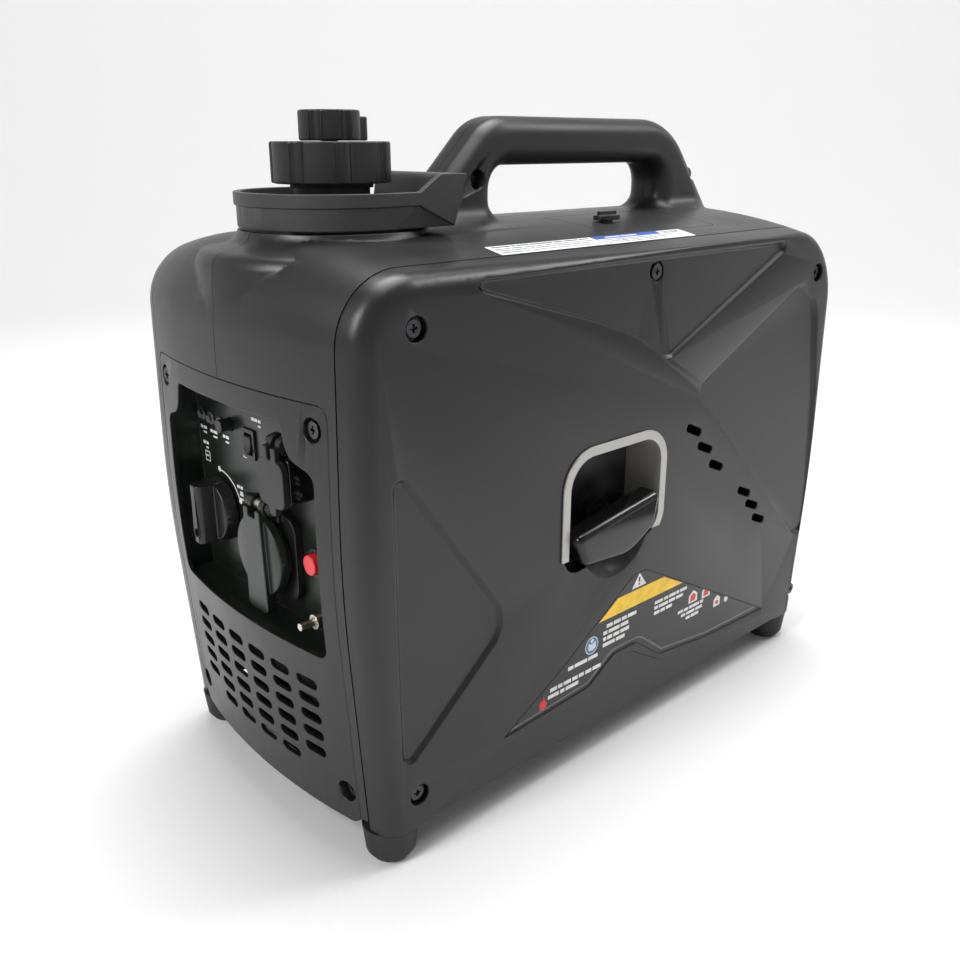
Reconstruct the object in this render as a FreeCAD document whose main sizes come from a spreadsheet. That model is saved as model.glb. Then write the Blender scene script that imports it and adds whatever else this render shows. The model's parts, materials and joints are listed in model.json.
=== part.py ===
# Portable inverter generator in a moulded suitcase housing, with its engine, controls and fastenings.
# Frame: origin on the floor at the centre of the four feet, X along the length with the control panel
# facing -X, the pull starter facing -Y, and +Z up. All sizes are in millimetres.
import FreeCAD, Part
import math
import os
import re
import Sketcher
import sys

doc = FreeCAD.newDocument("portable_generator")
dims = doc.addObject("Spreadsheet::Sheet", "dims")

SIZES = [
    # housing
    ("body_length", 462.0, "front bulge to rear bulge on the middle plane"),
    ("body_width", 226.0, "side panel to side panel"),
    ("foot_height", 22.0, "floor to the underside of the housing"),
    ("body_top", 343.0, "floor to the crown of the housing"),
    ("crown_sag", 14.5, "how far the top and ends fall away from the middle to a side"),
    ("base_inset", 12.0, "how far the ends lean in at the base"),
    ("front_corner", 48.0, "round between front and top"),
    ("rear_corner", 68.0, "round between rear and top"),
    ("end_bulge", 900.0, "radius of the bowed front and rear"),
    ("wall", 3.0, "moulded wall"),
    ("relief", 2.6, "depth of the fields in a side panel"),
    ("cover_depth", 16.0, "how far a side cover wraps round the edge"),
    ("corner_round", 13.0, "upright edge of a side cover"),
    ("crease_round", 5.0, "top edge of a side cover"),
    ("seam", 0.4, "gap at a seam"),
    ("fit_gap", 0.3, "gap beside a piece that moves"),
    # handle
    ("handle_top", 404.0, "floor to the top of the handle"),
    ("handle_width", 36.0, "width of the grip"),
    ("grip_depth", 29.0, "depth of the grip bar"),
    ("handle_front", -104.0, "front root of the handle"),
    ("handle_rear", 217.0, "rear root of the handle"),
    ("hole_front", -42.0, "front end of the hand hole"),
    ("hole_rear", 125.0, "rear end of the hand hole"),
    ("handle_round", 12.0, "rounds along the handle and at its roots"),
    # fuel filler
    ("filler_x", -150.0, "centre of the filler"),
    ("tray_radius", 54.0, "spill tray"),
    ("tray_height", 18.5, "spill tray, underside to rim"),
    ("tray_gap", 2.0, "shadow gap under the spill tray"),
    ("tower_top", 53.0, "radius of the tower under the tray"),
    ("tower_skirt", 81.5, "radius of the tower's skirt"),
    ("neck_radius", 21.0, "filler neck, outside"),
    ("cap_radius", 33.0, "fuel cap"),
    ("cap_height", 23.0, "fuel cap"),
    ("vent_radius", 17.0, "vent knob"),
    ("vent_height", 16.0, "vent knob"),
    # front
    ("fascia_half", 91.0, "half the width of a fascia"),
    ("fascia_top", 269.0, "floor to the top of the front fascia"),
    ("opening_half", 80.0, "half the width of the control recess"),
    ("opening_low", 128.0, "floor to the sill of the control recess"),
    ("opening_high", 256.0, "floor to the top of the control recess"),
    ("panel_depth", 27.0, "front bulge to the face of the control panel"),
    ("slot_length", 17.0, "grille slot"),
    ("slot_height", 6.0, "grille slot"),
    ("slot_pitch_y", 24.0, "grille, across"),
    ("slot_pitch_z", 11.3, "grille, up"),
    ("screw_radius", 4.6, "head of a housing screw"),
    ("screw_well", 6.4, "well of a housing screw"),
    ("well_depth", 5.0, "well of a housing screw"),
    # controls
    ("dial_radius", 21.0, "fuel dial"),
    ("socket_radius", 25.0, "mains socket lid"),
    ("button_radius", 6.0, "breaker button"),
    ("stud_radius", 2.5, "ground terminal stud"),
    # starter
    ("recess_x", -28.0, "centre of the starter recess"),
    ("recess_z", 174.0, "centre of the starter recess"),
    ("recess_width", 90.0, "starter recess"),
    ("recess_height", 84.0, "starter recess"),
    ("recess_depth", 28.0, "starter recess, from the side panel"),
    ("grip_length", 86.0, "starter grip"),
    ("grip_height", 26.0, "starter grip"),
    ("rope_radius", 2.5, "starter rope"),
    # engine
    ("crank_x", 48.0, "crankshaft axis"),
    ("crank_z", 150.0, "crankshaft axis"),
    ("crank_radius", 10.0, "crankshaft"),
    ("reel_radius", 32.0, "rope reel"),
    ("foot_x", 196.0, "feet, along the length"),
    ("foot_y", 96.0, "feet, across"),
    ("foot_radius", 16.5, "foot at its top"),
]
NAMES = set()
for row, (alias, size, note) in enumerate(SIZES, start=1):
    dims.set(f"A{row}", note)
    dims.set(f"B{row}", str(size))
    dims.setAlias(f"B{row}", alias)
    NAMES.add(alias)
doc.recompute()

# Places that several pieces share, written as sums of the sizes above.
FRONT = "(-body_length / 2)"
REAR = "(body_length / 2)"
SIDE = "(body_width / 2)"
SEAM_Y = "(body_width / 2 - cover_depth)"
TRAY_BASE = "(body_top + tray_gap)"
TRAY_TOP = "(body_top + tray_gap + tray_height)"
CAP_BASE = f"({TRAY_TOP} + 2.5)"
PANEL_X = "(panel_depth - body_length / 2)"
BACK_Y = "(recess_depth - body_width / 2)"


def bound(text):
    """A sum of size names, written as a spreadsheet expression."""
    return re.sub(r"[a-z][a-z_0-9]*", lambda word: "dims." + word[0] if word[0] in NAMES else word[0],
                  str(text))


def number(text):
    """The present value of a sum of size names."""
    return float(dims.evalExpression(bound(text)))


def bind(thing, field, text):
    thing.setExpression(field, bound(text))


def place(thing, x=0, y=0, z=0):
    for field, text in (("x", x), ("y", y), ("z", z)):
        bind(thing, f"Placement.Base.{field}", text)


LYING = {"x": FreeCAD.Rotation(FreeCAD.Vector(0, 1, 0), 90),
         "y": FreeCAD.Rotation(FreeCAD.Vector(1, 0, 0), -90),
         "z": FreeCAD.Rotation()}


def block(x, y, z, name="block"):
    """A box between pairs of lowest and highest places."""
    box = doc.addObject("Part::Box", name)
    for field, (low, high) in (("Length", x), ("Width", y), ("Height", z)):
        bind(box, field, f"({high}) - ({low})")
    place(box, x[0], y[0], z[0])
    return box


def rod(axis, centre, low, high, radius, name="rod"):
    """A cylinder along an axis, between two places on it."""
    cylinder = doc.addObject("Part::Cylinder", name)
    cylinder.Placement = FreeCAD.Placement(FreeCAD.Vector(), LYING[axis])
    bind(cylinder, "Radius", radius)
    bind(cylinder, "Height", f"({high}) - ({low})")
    spots = {"x": (low, *centre), "y": (centre[0], low, centre[1]), "z": (*centre, low)}
    place(cylinder, *spots[axis])
    return cylinder


def taper(axis, centre, low, high, radius_low, radius_high, name="taper"):
    """A cone along an axis."""
    cone = doc.addObject("Part::Cone", name)
    cone.Placement = FreeCAD.Placement(FreeCAD.Vector(), LYING[axis])
    bind(cone, "Radius1", radius_low)
    bind(cone, "Radius2", radius_high)
    bind(cone, "Height", f"({high}) - ({low})")
    spots = {"x": (low, *centre), "y": (centre[0], low, centre[1]), "z": (*centre, low)}
    place(cone, *spots[axis])
    return cone


def joined(*pieces):
    if len(pieces) == 1:
        return pieces[0]
    fuse = doc.addObject("Part::MultiFuse", "joined")
    fuse.Shapes = list(pieces)
    return fuse


def group(*pieces):
    compound = doc.addObject("Part::Compound", "group")
    compound.Links = list(pieces)
    return compound


def cut(base, *tools):
    """What is left of a piece once each tool has been taken away."""
    for tool in tools:
        step = doc.addObject("Part::Cut", "cut")
        step.Base = base
        step.Tool = tool
        base = step
    return base


def shared(one, other):
    step = doc.addObject("Part::Common", "shared")
    step.Base = one
    step.Tool = other
    return step


def mirrored(base):
    """The same piece on the other side of the middle plane."""
    mirror = doc.addObject("Part::Mirroring", "mirrored")
    mirror.Source = base
    mirror.Normal = FreeCAD.Vector(0, 1, 0)
    return mirror


def rounded(base, radius, chosen):
    """Fillets on the edges that chosen(edge) picks; it may return a share of the radius."""
    doc.recompute()
    fillet = doc.addObject("Part::Fillet", "rounded")
    fillet.Base = base
    size = number(radius)
    picks = []
    for index, edge in enumerate(base.Shape.Edges, start=1):
        share = chosen(edge)
        if isinstance(share, tuple):
            picks.append((index, size * share[0], size * share[1]))
        elif share:
            picks.append((index, size * float(share), size * float(share)))
    fillet.Edges = picks
    return fillet


def corner_arc(before, corner, after, radius):
    """The arc that rounds a corner: its first and last points, the arc, and whether it runs backwards."""
    back = (before - corner).normalize()
    on = (after - corner).normalize()
    half = back.getAngle(on) / 2
    run = radius / math.tan(half)
    centre = corner + (back + on).normalize() * (radius / math.sin(half))
    first = corner + back * run
    last = corner + on * run
    backwards = back.cross(on).z > 0
    ends = (last, first) if backwards else (first, last)
    angles = [math.atan2(point.y - centre.y, point.x - centre.x) for point in ends]
    if angles[1] < angles[0]:
        angles[1] += 2 * math.pi
    arc = Part.ArcOfCircle(Part.Circle(centre, FreeCAD.Vector(0, 0, 1), radius), *angles)
    return first, last, arc, backwards


def draw(sketch, corners, closed=True):
    """A line through corners (across, up, radius), each bound to its sizes; a radius rounds the corner."""
    points = [FreeCAD.Vector(number(c[0]), number(c[1]), 0) for c in corners]
    radii = [number(c[2]) if len(c) > 2 else 0 for c in corners]
    count = len(points)
    arcs = {}
    for i in range(count):
        if radii[i]:
            arcs[i] = corner_arc(points[i - 1], points[i], points[(i + 1) % count], radii[i])
    lines = {}
    for i in range(count if closed else count - 1):
        start = arcs[i][1] if i in arcs else points[i]
        after = (i + 1) % count
        end = arcs[after][0] if after in arcs else points[after]
        lines[i] = sketch.addGeometry(Part.LineSegment(start, end), False)
    rules = []
    sizes = []

    def rule(kind, *places, text=None):
        if text is None:
            rules.append(Sketcher.Constraint(kind, *places))
        else:
            rules.append(Sketcher.Constraint(kind, *places, number(text)))
            sizes.append((len(rules) - 1, text))

    for i in range(count):
        before = lines.get((i - 1) % count)
        after = lines.get(i)
        if i in arcs:
            first, last, curve, backwards = arcs[i]
            arc = sketch.addGeometry(curve, False)
            corner = sketch.addGeometry(Part.Point(points[i]), True)
            rule("Tangent", before, 2, arc, 2 if backwards else 1)
            rule("Tangent", after, 1, arc, 1 if backwards else 2)
            rule("PointOnObject", corner, 1, before)
            rule("PointOnObject", corner, 1, after)
            rule("DistanceX", -1, 1, corner, 1, text=corners[i][0])
            rule("DistanceY", -1, 1, corner, 1, text=corners[i][1])
            rule("Radius", arc, text=corners[i][2])
        else:
            if before is not None and after is not None:
                rule("Coincident", before, 2, after, 1)
            here = (after, 1) if after is not None else (before, 2)
            rule("DistanceX", -1, 1, *here, text=corners[i][0])
            rule("DistanceY", -1, 1, *here, text=corners[i][1])
    sketch.addConstraint(rules)
    for index, text in sizes:
        if any(name in str(text) for name in NAMES):
            bind(sketch, f"Constraints[{index}]", text)


def flat(body, plane, corners, level, closed=True):
    """A sketch on one of a body's origin planes, moved along the plane's normal to a level."""
    sketch = body.newObject("Sketcher::SketchObject", "outline")
    for feature in body.Origin.OriginFeatures:
        if feature.Role == plane:
            sketch.AttachmentSupport = [(feature, "")]
    sketch.MapMode = "FlatFace"
    bind(sketch, "AttachmentOffset.Base.z", level)
    draw(sketch, corners, closed)
    return sketch


def plate(plane, corners, low, high, lean=0, name="plate"):
    """An outline given thickness: along Z on XY_Plane, along Y on XZ_Plane, along X on YZ_Plane."""
    body = doc.addObject("PartDesign::Body", name)
    level = f"-({high})" if plane == "XZ_Plane" else low
    sketch = flat(body, plane, corners, level)
    pad = body.newObject("PartDesign::Pad", "pad")
    pad.Profile = sketch
    bind(pad, "Length", f"({high}) - ({low})")
    pad.TaperAngle = lean
    return body


def turned(corners, centre=(0, 0, 0), axis="z", name="turned"):
    """A profile (radius, height) turned about an axis through a centre."""
    body = doc.addObject("PartDesign::Body", name)
    sketch = flat(body, "XZ_Plane", corners, 0)
    spin = body.newObject("PartDesign::Revolution", "spin")
    spin.Profile = sketch
    spin.ReferenceAxis = (sketch, ["V_Axis"])
    spin.Angle = 360
    body.Placement = FreeCAD.Placement(FreeCAD.Vector(), LYING[axis])
    place(body, *centre)
    return body


NODES = []


def node(thing, label):
    """Name a finished piece; its label names its file."""
    thing.Label = label
    NODES.append(thing)
    return thing


# ---- housing form ----------------------------------------------------------------------------------------
# The housing's outer form is its side outline given thickness, with the crowned top and ends swept off it.
# The same form drawn a wall further in is the hollow inside it.
def side_outline(inset):
    """Corners of the side outline, a distance inside the outer skin."""
    low = "foot_height - 40"
    return [(f"{FRONT} + base_inset + {inset}", low),
            (f"{FRONT} + {inset} - 1", "foot_height + 150", "end_bulge"),
            (f"{FRONT} + {inset} + 3", f"body_top - {inset}", f"front_corner - {inset}"),
            (f"{REAR} - {inset} - 5", f"body_top - {inset}", f"rear_corner - {inset}"),
            (f"{REAR} - {inset} + 1", "foot_height + 120", "end_bulge"),
            (f"{REAR} - base_inset - {inset}", low)]


def crown_offcut(corners):
    """What lies outside the crown: its section carried along a side outline, straight or round each bend."""
    half = number(SIDE)
    reach = half + 12
    drop = number("crown_sag") * (reach / half) ** 2
    points = [FreeCAD.Vector(number(c[0]), number(c[1]), 0) for c in corners]
    runs = []
    start = points[0]
    for i in range(1, len(points) - 1):
        first, last, arc, backwards = corner_arc(points[i - 1], points[i], points[i + 1],
                                                 number(corners[i][2]))
        runs.append((start, first, None))
        runs.append((first, last, arc.Center))
        start = last
    runs.append((start, points[-1], None))
    pieces = []
    for begin, end, centre in runs:
        ahead = (end - begin) if centre is None else FreeCAD.Vector(begin.y - centre.y, centre.x - begin.x, 0)
        ahead.normalize()
        out = FreeCAD.Vector(-ahead.y, 0, ahead.x)
        spot = FreeCAD.Vector(begin.x, 0, begin.y)
        side = FreeCAD.Vector(0, reach, 0)
        rim = [spot - out * drop - side, spot - out * drop + side, spot + out * 6 + side,
               spot + out * 6 - side]
        lines = [Part.LineSegment(rim[1], rim[2]), Part.LineSegment(rim[2], rim[3]),
                 Part.LineSegment(rim[3], rim[0])]
        wire = Part.Wire([Part.Arc(rim[0], spot, rim[1]).toShape(), *[line.toShape() for line in lines]])
        face = Part.Face(wire)
        if centre is None:
            pieces.append(face.extrude(FreeCAD.Vector(end.x - begin.x, 0, end.y - begin.y)))
        else:
            turn = math.degrees((begin - centre).getAngle(end - centre))
            pieces.append(face.revolve(FreeCAD.Vector(centre.x, 0, centre.y), FreeCAD.Vector(0, 1, 0), turn))
    offcut = doc.addObject("Part::Feature", "crown_offcut")
    offcut.Shape = pieces[0].multiFuse(pieces[1:])
    return offcut


def housing_form(inset, side_inset):
    """The housing a distance inside its crowned skin and another inside its flat sides."""
    slab = plate("XZ_Plane", side_outline(f"({inset} - 2)"), f"-({SIDE} - {side_inset})",
                 f"{SIDE} - {side_inset}")
    return cut(slab, crown_offcut(side_outline(inset)))


outer_form = housing_form("0", "0")
inner_form = housing_form("wall", "(wall + relief)")

# The tower flares out from under the spill tray and dies into the top and front.
tower = turned([(0, "body_top - 58"),
                ("tower_skirt - 2.4", "body_top - 58"),
                ("tower_skirt - 5", "body_top - 10", 9),
                ("tower_top + 2", "body_top - 5", 10),
                ("tower_top", "body_top + 0.5"),
                ("tower_top - 3", "body_top + 0.5"),
                ("tower_top - 3", TRAY_BASE),
                (0, TRAY_BASE)], ("filler_x", 0, 0), name="tower")
tower_hollow = turned([(0, "body_top - 60"),
                       ("tower_skirt - 2.4 - wall", "body_top - 60"),
                       ("tower_skirt - 6 - wall", "body_top - 12 - wall", 6),
                       ("tower_top - 3 - wall", "body_top - 7 - wall", 6),
                       ("tower_top - 3 - wall", f"{TRAY_BASE} - wall"),
                       (0, f"{TRAY_BASE} - wall")], ("filler_x", 0, 0), name="tower_hollow")


# The handle is moulded with the two shells: one bow with a hand hole, blended into the crown at its roots.
bow_outline = [("handle_front - 10", "body_top - 10"),
               ("hole_front", "handle_top", 34),
               ("hole_rear + 10", "handle_top", 56),
               ("handle_rear - 14", "body_top - 20"),
               ("handle_rear - 40", "body_top - 40")]
bow = plate("XZ_Plane", bow_outline, "-handle_width / 2", "handle_width / 2", name="bow")
hand_hole = plate("XZ_Plane",
                  [("hole_front", "body_top - 30"),
                   ("hole_front", "handle_top - grip_depth", 15),
                   ("hole_rear", "handle_top - grip_depth", 15),
                   ("hole_rear", "body_top - 30")], "-90", "90", name="hand_hole")
sharp_housing = joined(outer_form, cut(bow, hand_hole))


def handle_edge(edge):
    """The long edges of the bow, and those where its roots meet the crown."""
    box = edge.BoundBox
    half = number("handle_width") / 2
    beside = box.YLength < 0.1 and abs(abs(box.YMin) - half) < 0.1 and box.ZMax > number("body_top") + 1
    root = box.ZMin > number("body_top") - 43 and box.ZMax < number("body_top") + 0.5
    root = root and max(abs(box.YMin), abs(box.YMax)) < half + 1 and box.XMin > number("handle_front") - 26
    return beside or root


housing = joined(rounded(sharp_housing, "handle_round", handle_edge), tower)
housing_hollow = joined(inner_form, tower_hollow)
skin = cut(housing, housing_hollow)

# ---- side covers -----------------------------------------------------------------------------------------
# A cover is the last part of the housing form beside the seam, with the edge rounded and the middle hollow.
side_slab = block((-400, 400), (f"-({SIDE} + 5)", f"-{SEAM_Y}"), ("foot_height", 500))
cover_blank = shared(outer_form, side_slab)


def cover_edge(edge):
    """Edges round the flat side; the uprights take the full round and the crease a share of it."""
    box = edge.BoundBox
    if box.YMax > -number(SIDE) + 0.1 or box.ZMax < number("foot_height") + 1:
        return 0
    if box.ZLength < 5 and box.ZMin > number("body_top") - 60:
        return number("crease_round / corner_round")
    if box.XLength > 30:
        return (1, number("crease_round / corner_round"))
    return 1


cover_form = rounded(cover_blank, "corner_round", cover_edge)

FIELD_FLOOR = f"-({SIDE} - relief)"
left_field = plate("XZ_Plane", [(-197, 236, 3), (-120, 128, 18), (-196, 64, 4)],
                   f"-({SIDE} + 1)", FIELD_FLOOR, lean=45, name="front_field")
right_field = plate("XZ_Plane",
                    [(51, 236, 6), (168, 293, 12), (191, 277, 22), (205, 201, 90), (210, 134, 60),
                     (209, 84, 8)],
                    f"-({SIDE} + 1)", FIELD_FLOOR, lean=40, name="rear_field")
top_field = plate("XZ_Plane",
                  [(-150, "body_top - crown_sag - 5.5", 2), (-50, 294), (-12, 280), (13, 264, 6),
                   (20, 264, 6),
                   (146, "body_top - crown_sag - 5.5", 2)],
                  f"-({SIDE} + 1)", FIELD_FLOOR, lean=40, name="top_field")
label_field = plate("XZ_Plane",
                    [(-122, 50), (-73, 77), (-5, 121, 9), (8, 121, 12), (160, 40), (84, 43), (28, 50),
                     (2, 69, 10), (-22, 69, 10), (-46, 54, 12)],
                    f"-({SIDE} + 1)", f"-({SIDE} - 0.7)", name="label_field")
sill_corners = [(-186, "foot_height - 4"), (-167, 29), (-134, 43, 20), (-38, 47, 20), (-18, 62, 6),
                (-3, 64, 6),
                (33, 43, 20), (80, 38, 40), (160, 31), (196, "foot_height - 4")]
sill = plate("XZ_Plane", sill_corners, f"-({SIDE} + 1)", f"-({SEAM_Y} - 1)", name="sill")
SIDE_SCREWS = [(-182, 305), (3, 316), (188, 300), (-187, 43), (207, 41)]


def screw_places(kind, radius, outer, inner):
    """Rods along Y at the screws of the right cover, between two places measured in from its face."""
    return [rod("y", place, f"-{SIDE} + {outer}", f"-{SIDE} + {inner}", radius,
                name=kind) for place in SIDE_SCREWS]


cover_bosses = shared(joined(*screw_places("boss", "screw_well + 2", "0.5", "well_depth + 3")), cover_form)
cover_wells = group(*screw_places("well", "screw_well", "(-1)", "well_depth"))
cover_holes = group(*screw_places("hole", "2.2", "0", "well_depth + 20"))
hollow_cover = joined(cut(cover_form, housing_hollow), cover_bosses)
relief_cover = cut(hollow_cover, left_field, right_field, top_field, label_field, sill, cover_wells,
                   cover_holes)


def vent(x, z):
    """A leaning vent slot beside the starter."""
    lean = [(f"{x} - 9", f"{z} + 1", 2.3), (f"{x} - 7", f"{z} + 6", 2.3),
            (f"{x} + 9", f"{z} - 1", 2.3), (f"{x} + 7", f"{z} - 6", 2.3)]
    return plate("XZ_Plane", lean, f"-({SIDE} + 2)", f"-({SIDE} - 12)", name="vent")


def stadium(y, z, half_length, half_height, low, high, name="slot"):
    """A slot with round ends, through a fascia."""
    corners = [(f"{y} - {half_length}", f"{z} - {half_height}", f"{half_height} - 0.1"),
               (f"{y} + {half_length}", f"{z} - {half_height}", f"{half_height} - 0.1"),
               (f"{y} + {half_length}", f"{z} + {half_height}", f"{half_height} - 0.1"),
               (f"{y} - {half_length}", f"{z} + {half_height}", f"{half_height} - 0.1")]
    return plate("YZ_Plane", corners, low, high, name=name)


def grip_outline(grow):
    """The starter grip seen from the side, grown outwards by a distance."""
    return [(f"recess_x - grip_length / 2 - {grow}", f"recess_z - 7 + {grow}", 5),
            (f"recess_x - 34 - {grow}", f"recess_z - 7 - grip_height * 0.8 - {grow}", 8),
            ("recess_x + 8", f"recess_z - 5 - grip_height - {grow}", 30),
            (f"recess_x + 32 + {grow}", f"recess_z - 18 - {grow}", 9),
            (f"recess_x + grip_length / 2 - 6 + {grow}", f"recess_z + 6 + {grow}", 4)]


GRIP_BACK = f"({SIDE} - 9)"
grip_room = plate("XZ_Plane", grip_outline(1.2), f"-({SIDE} + 9)", f"-({GRIP_BACK} - 0.6)", name="grip_room")
# The starter recess is a window in the right cover, with a scoop below it for the fingers.
window_corners = [("recess_x - recess_width / 2", "recess_z - recess_height / 2 + 8", 12),
                  ("recess_x + recess_width / 2", "recess_z - recess_height / 2 + 16", 16),
                  ("recess_x + recess_width / 2", "recess_z + recess_height / 2", 20),
                  ("recess_x - recess_width / 2", "recess_z + recess_height / 2", 22)]
window = plate("XZ_Plane", window_corners, f"-({SIDE} + 2)", f"-({SEAM_Y} - 2)", name="window")
scoop = taper("y", ("recess_x + 2", "recess_z - recess_height / 2 + 30"), f"-({SIDE} + 0.5)",
              f"-({SIDE} - 9)",
              35, 25, name="scoop")
vents = [vent(*spot) for spot in ((50, 209), (64, 194), (79, 178), (118, 149), (130, 136), (141, 122))]
scoop_shell = shared(taper("y", ("recess_x + 2", "recess_z - recess_height / 2 + 30"), f"-{SIDE}",
                           f"-({SIDE} - 11)",
                           38, 28, name="scoop_wall"), cover_form)
right_cover = node(cut(joined(relief_cover, scoop_shell), window, scoop, grip_room, group(*vents)),
                   "right_cover")

# The left cover has the same relief and a service door instead of the starter.
door_corners = [(-60, 96, 8), (44, 96, 8), (44, 214, 8), (-60, 214, 8)]
grown_door = [(x + math.copysign(0.4, x), z + math.copysign(0.4, z - 150), r) for x, z, r in door_corners]
door_hole = plate("XZ_Plane", grown_door, f"-({SIDE} + 2)", f"-({SEAM_Y} - 2)", name="door_hole")
left_cover = node(mirrored(cut(relief_cover, door_hole)), "left_cover")

# ---- shells ----------------------------------------------------------------------------------------------
# The two shells carry the top, the handle and what is left of the ends, and meet on the middle plane.
FRONT_CUT = (f"{FRONT} - 20", f"{FRONT} + 60")
REAR_CUT = (f"{REAR} - 60", f"{REAR} + 20")


def end_plate(half, low, high, span, name="end_plate"):
    """A rounded rectangle across an end of the housing."""
    corners = [(f"-({half})", low, 8), (half, low, 8), (half, high, 8), (f"-({half})", high, 8)]
    return plate("YZ_Plane", corners, *span, name=name)


front_gap = end_plate("fascia_half + seam", "foot_height - 10", "fascia_top + seam", FRONT_CUT)
rear_gap = end_plate("fascia_half + seam", "foot_height - 10", "fascia_top + seam", REAR_CUT)
neck_hole = rod("z", ("filler_x", 0), "body_top - 40", f"{TRAY_BASE} + 5", "neck_radius + seam")
HANDLE_SCREWS = [(-57, 367), (164, 366)]
handle_wells = [rod("y", place, "-60", "-8", "screw_well - 0.4") for place in HANDLE_SCREWS]
handle_holes = [rod("y", place, "-10", "14", "2.6") for place in HANDLE_SCREWS]
HATCH = {"x": ("(-2)", "104"), "y": ("(-80)", "(-20)")}
hatch_corners = [(HATCH["x"][0], HATCH["y"][0], 6), (HATCH["x"][1], HATCH["y"][0], 6),
                 (HATCH["x"][1], HATCH["y"][1], 3), (HATCH["x"][0], HATCH["y"][1], 3)]
hatch_gap = [(f"{x} + {math.copysign(0.4, i in (1, 2) and 1 or -1)}", f"{y} + {0.4 if i > 1 else -0.4}", r)
             for i, (x, y, r) in enumerate(hatch_corners)]
hatch_hole = plate("XY_Plane", hatch_gap, "body_top - 30", "body_top + 1", name="hatch_hole")
open_skin = cut(skin, front_gap, rear_gap, neck_hole)
right_room = block((-400, 400), (f"-({SEAM_Y} - seam)", "(-seam / 2)"), ("foot_height + 6", 500))
half_shell = shared(open_skin, right_room)
right_shell = node(cut(half_shell, group(*handle_holes), hatch_hole, group(*handle_wells)), "right_shell")
left_shell = node(cut(mirrored(half_shell), group(*handle_holes)), "left_shell")

# ---- base and feet ---------------------------------------------------------------------------------------
# The base tray closes the underside; its skirts show under the side covers, a little inside their faces.
skirt = cut(shared(cut(cover_blank, housing_hollow), sill),
            block((-400, 400), (f"-({SIDE} + 1)", f"-({SIDE} - 1.5)"), (0, 500)))
floor_room = block((f"{FRONT} + base_inset + 16", f"{REAR} - base_inset - 16"),
                   (f"-({SEAM_Y} - 2 * seam)", f"{SEAM_Y} - 2 * seam"), ("foot_height", "foot_height + wall"))
bridge = block((-170, 180), (f"-({SIDE} - 4)", f"{SIDE} - 4"), ("foot_height", "foot_height + wall"))
base_tray = node(joined(skirt, mirrored(skirt), floor_room, bridge), "base_tray")
feet = []
for side_x in (-1, 1):
    for side_y in (-1, 1):
        spot = (f"{side_x} * foot_x", f"{side_y} * foot_y")
        feet.append(joined(taper("z", spot, 5, "foot_height", "foot_radius - 2", "foot_radius"),
                           taper("z", spot, 0, 5, "foot_radius - 5.5", "foot_radius - 2")))
rubber_feet = node(group(*feet), "rubber_feet")

# ---- fascias ---------------------------------------------------------------------------------------------
END_SCREWS = [(-80, 256), (80, 256), (-82.4, 43), (82.4, 43)]
SEATS = [11.6, 11.6, 21.6, 21.6]
fascia_wall = cut(outer_form, housing_form("wall", "wall"))
front_plate = shared(fascia_wall, end_plate("fascia_half", "foot_height + 0.5", "fascia_top", FRONT_CUT))
rear_plate = shared(fascia_wall, end_plate("fascia_half", "foot_height + 0.5", "fascia_top", REAR_CUT))
opening_corners = [("-opening_half", "opening_low", 6), ("-opening_half", "opening_high - 24", 8),
                   ("-opening_half + 20", "opening_high - 18", 14), ("-opening_half + 24", "opening_high", 4),
                   ("opening_half - 24", "opening_high", 4), ("opening_half - 20", "opening_high - 18", 14),
                   ("opening_half", "opening_high - 24", 8), ("opening_half", "opening_low", 6)]
opening = plate("YZ_Plane", opening_corners, *FRONT_CUT, name="opening")


def grille(rows, span):
    """Six columns of slots; the outer columns stop one row short at the bottom."""
    slots = []
    for column in range(6):
        for line in range(rows):
            if column in (0, 5) and line == rows - 1:
                continue
            slots.append(stadium(f"({column - 2.5} * slot_pitch_y)",
                                 f"(opening_low - 21 - {line} * slot_pitch_z)",
                                 "(slot_length / 2)", "(slot_height / 2)", *span))
    return slots


def end_rods(end, inwards, outer, inner, radius, name):
    """Rods along X at the screws of a fascia, between two places measured inwards from each screw's seat."""
    rods = []
    for place, seat in zip(END_SCREWS, SEATS):
        span = [f"{end} + {inwards} * {seat + depth}" for depth in (outer, inner)]
        rods.append(rod("x", place, *(span if inwards > 0 else reversed(span)), radius, name=name))
    return rods


front_bosses = shared(joined(*end_rods(FRONT, 1, -12, 7, "screw_well + 2", "boss")), outer_form)
front_wells = end_rods(FRONT, 1, -30, 0, "screw_well", "well")
front_holes = end_rods(FRONT, 1, -30, 25, "2.2", "hole")
front_fascia = node(cut(joined(front_plate, front_bosses), opening, group(*grille(6, FRONT_CUT)),
                        group(*front_wells), group(*front_holes)), "front_fascia")
rear_bosses = shared(joined(*end_rods(REAR, -1, -12, 7, "screw_well + 2", "boss")), outer_form)
rear_wells = end_rods(REAR, -1, -30, 0, "screw_well", "well")
rear_holes = end_rods(REAR, -1, -30, 25, "2.2", "hole")
EXHAUST = (34, 196)
louvres = [stadium(0, f"(foot_height + 40 + {line} * 15)", "62", "3.6", *REAR_CUT) for line in range(7)]
exhaust_hole = rod("x", EXHAUST, REAR_CUT[0], REAR_CUT[1], 25)
rear_fascia = node(cut(joined(rear_plate, rear_bosses), exhaust_hole, group(*louvres), group(*rear_wells),
                       group(*rear_holes)),
                   "rear_fascia")

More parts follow.
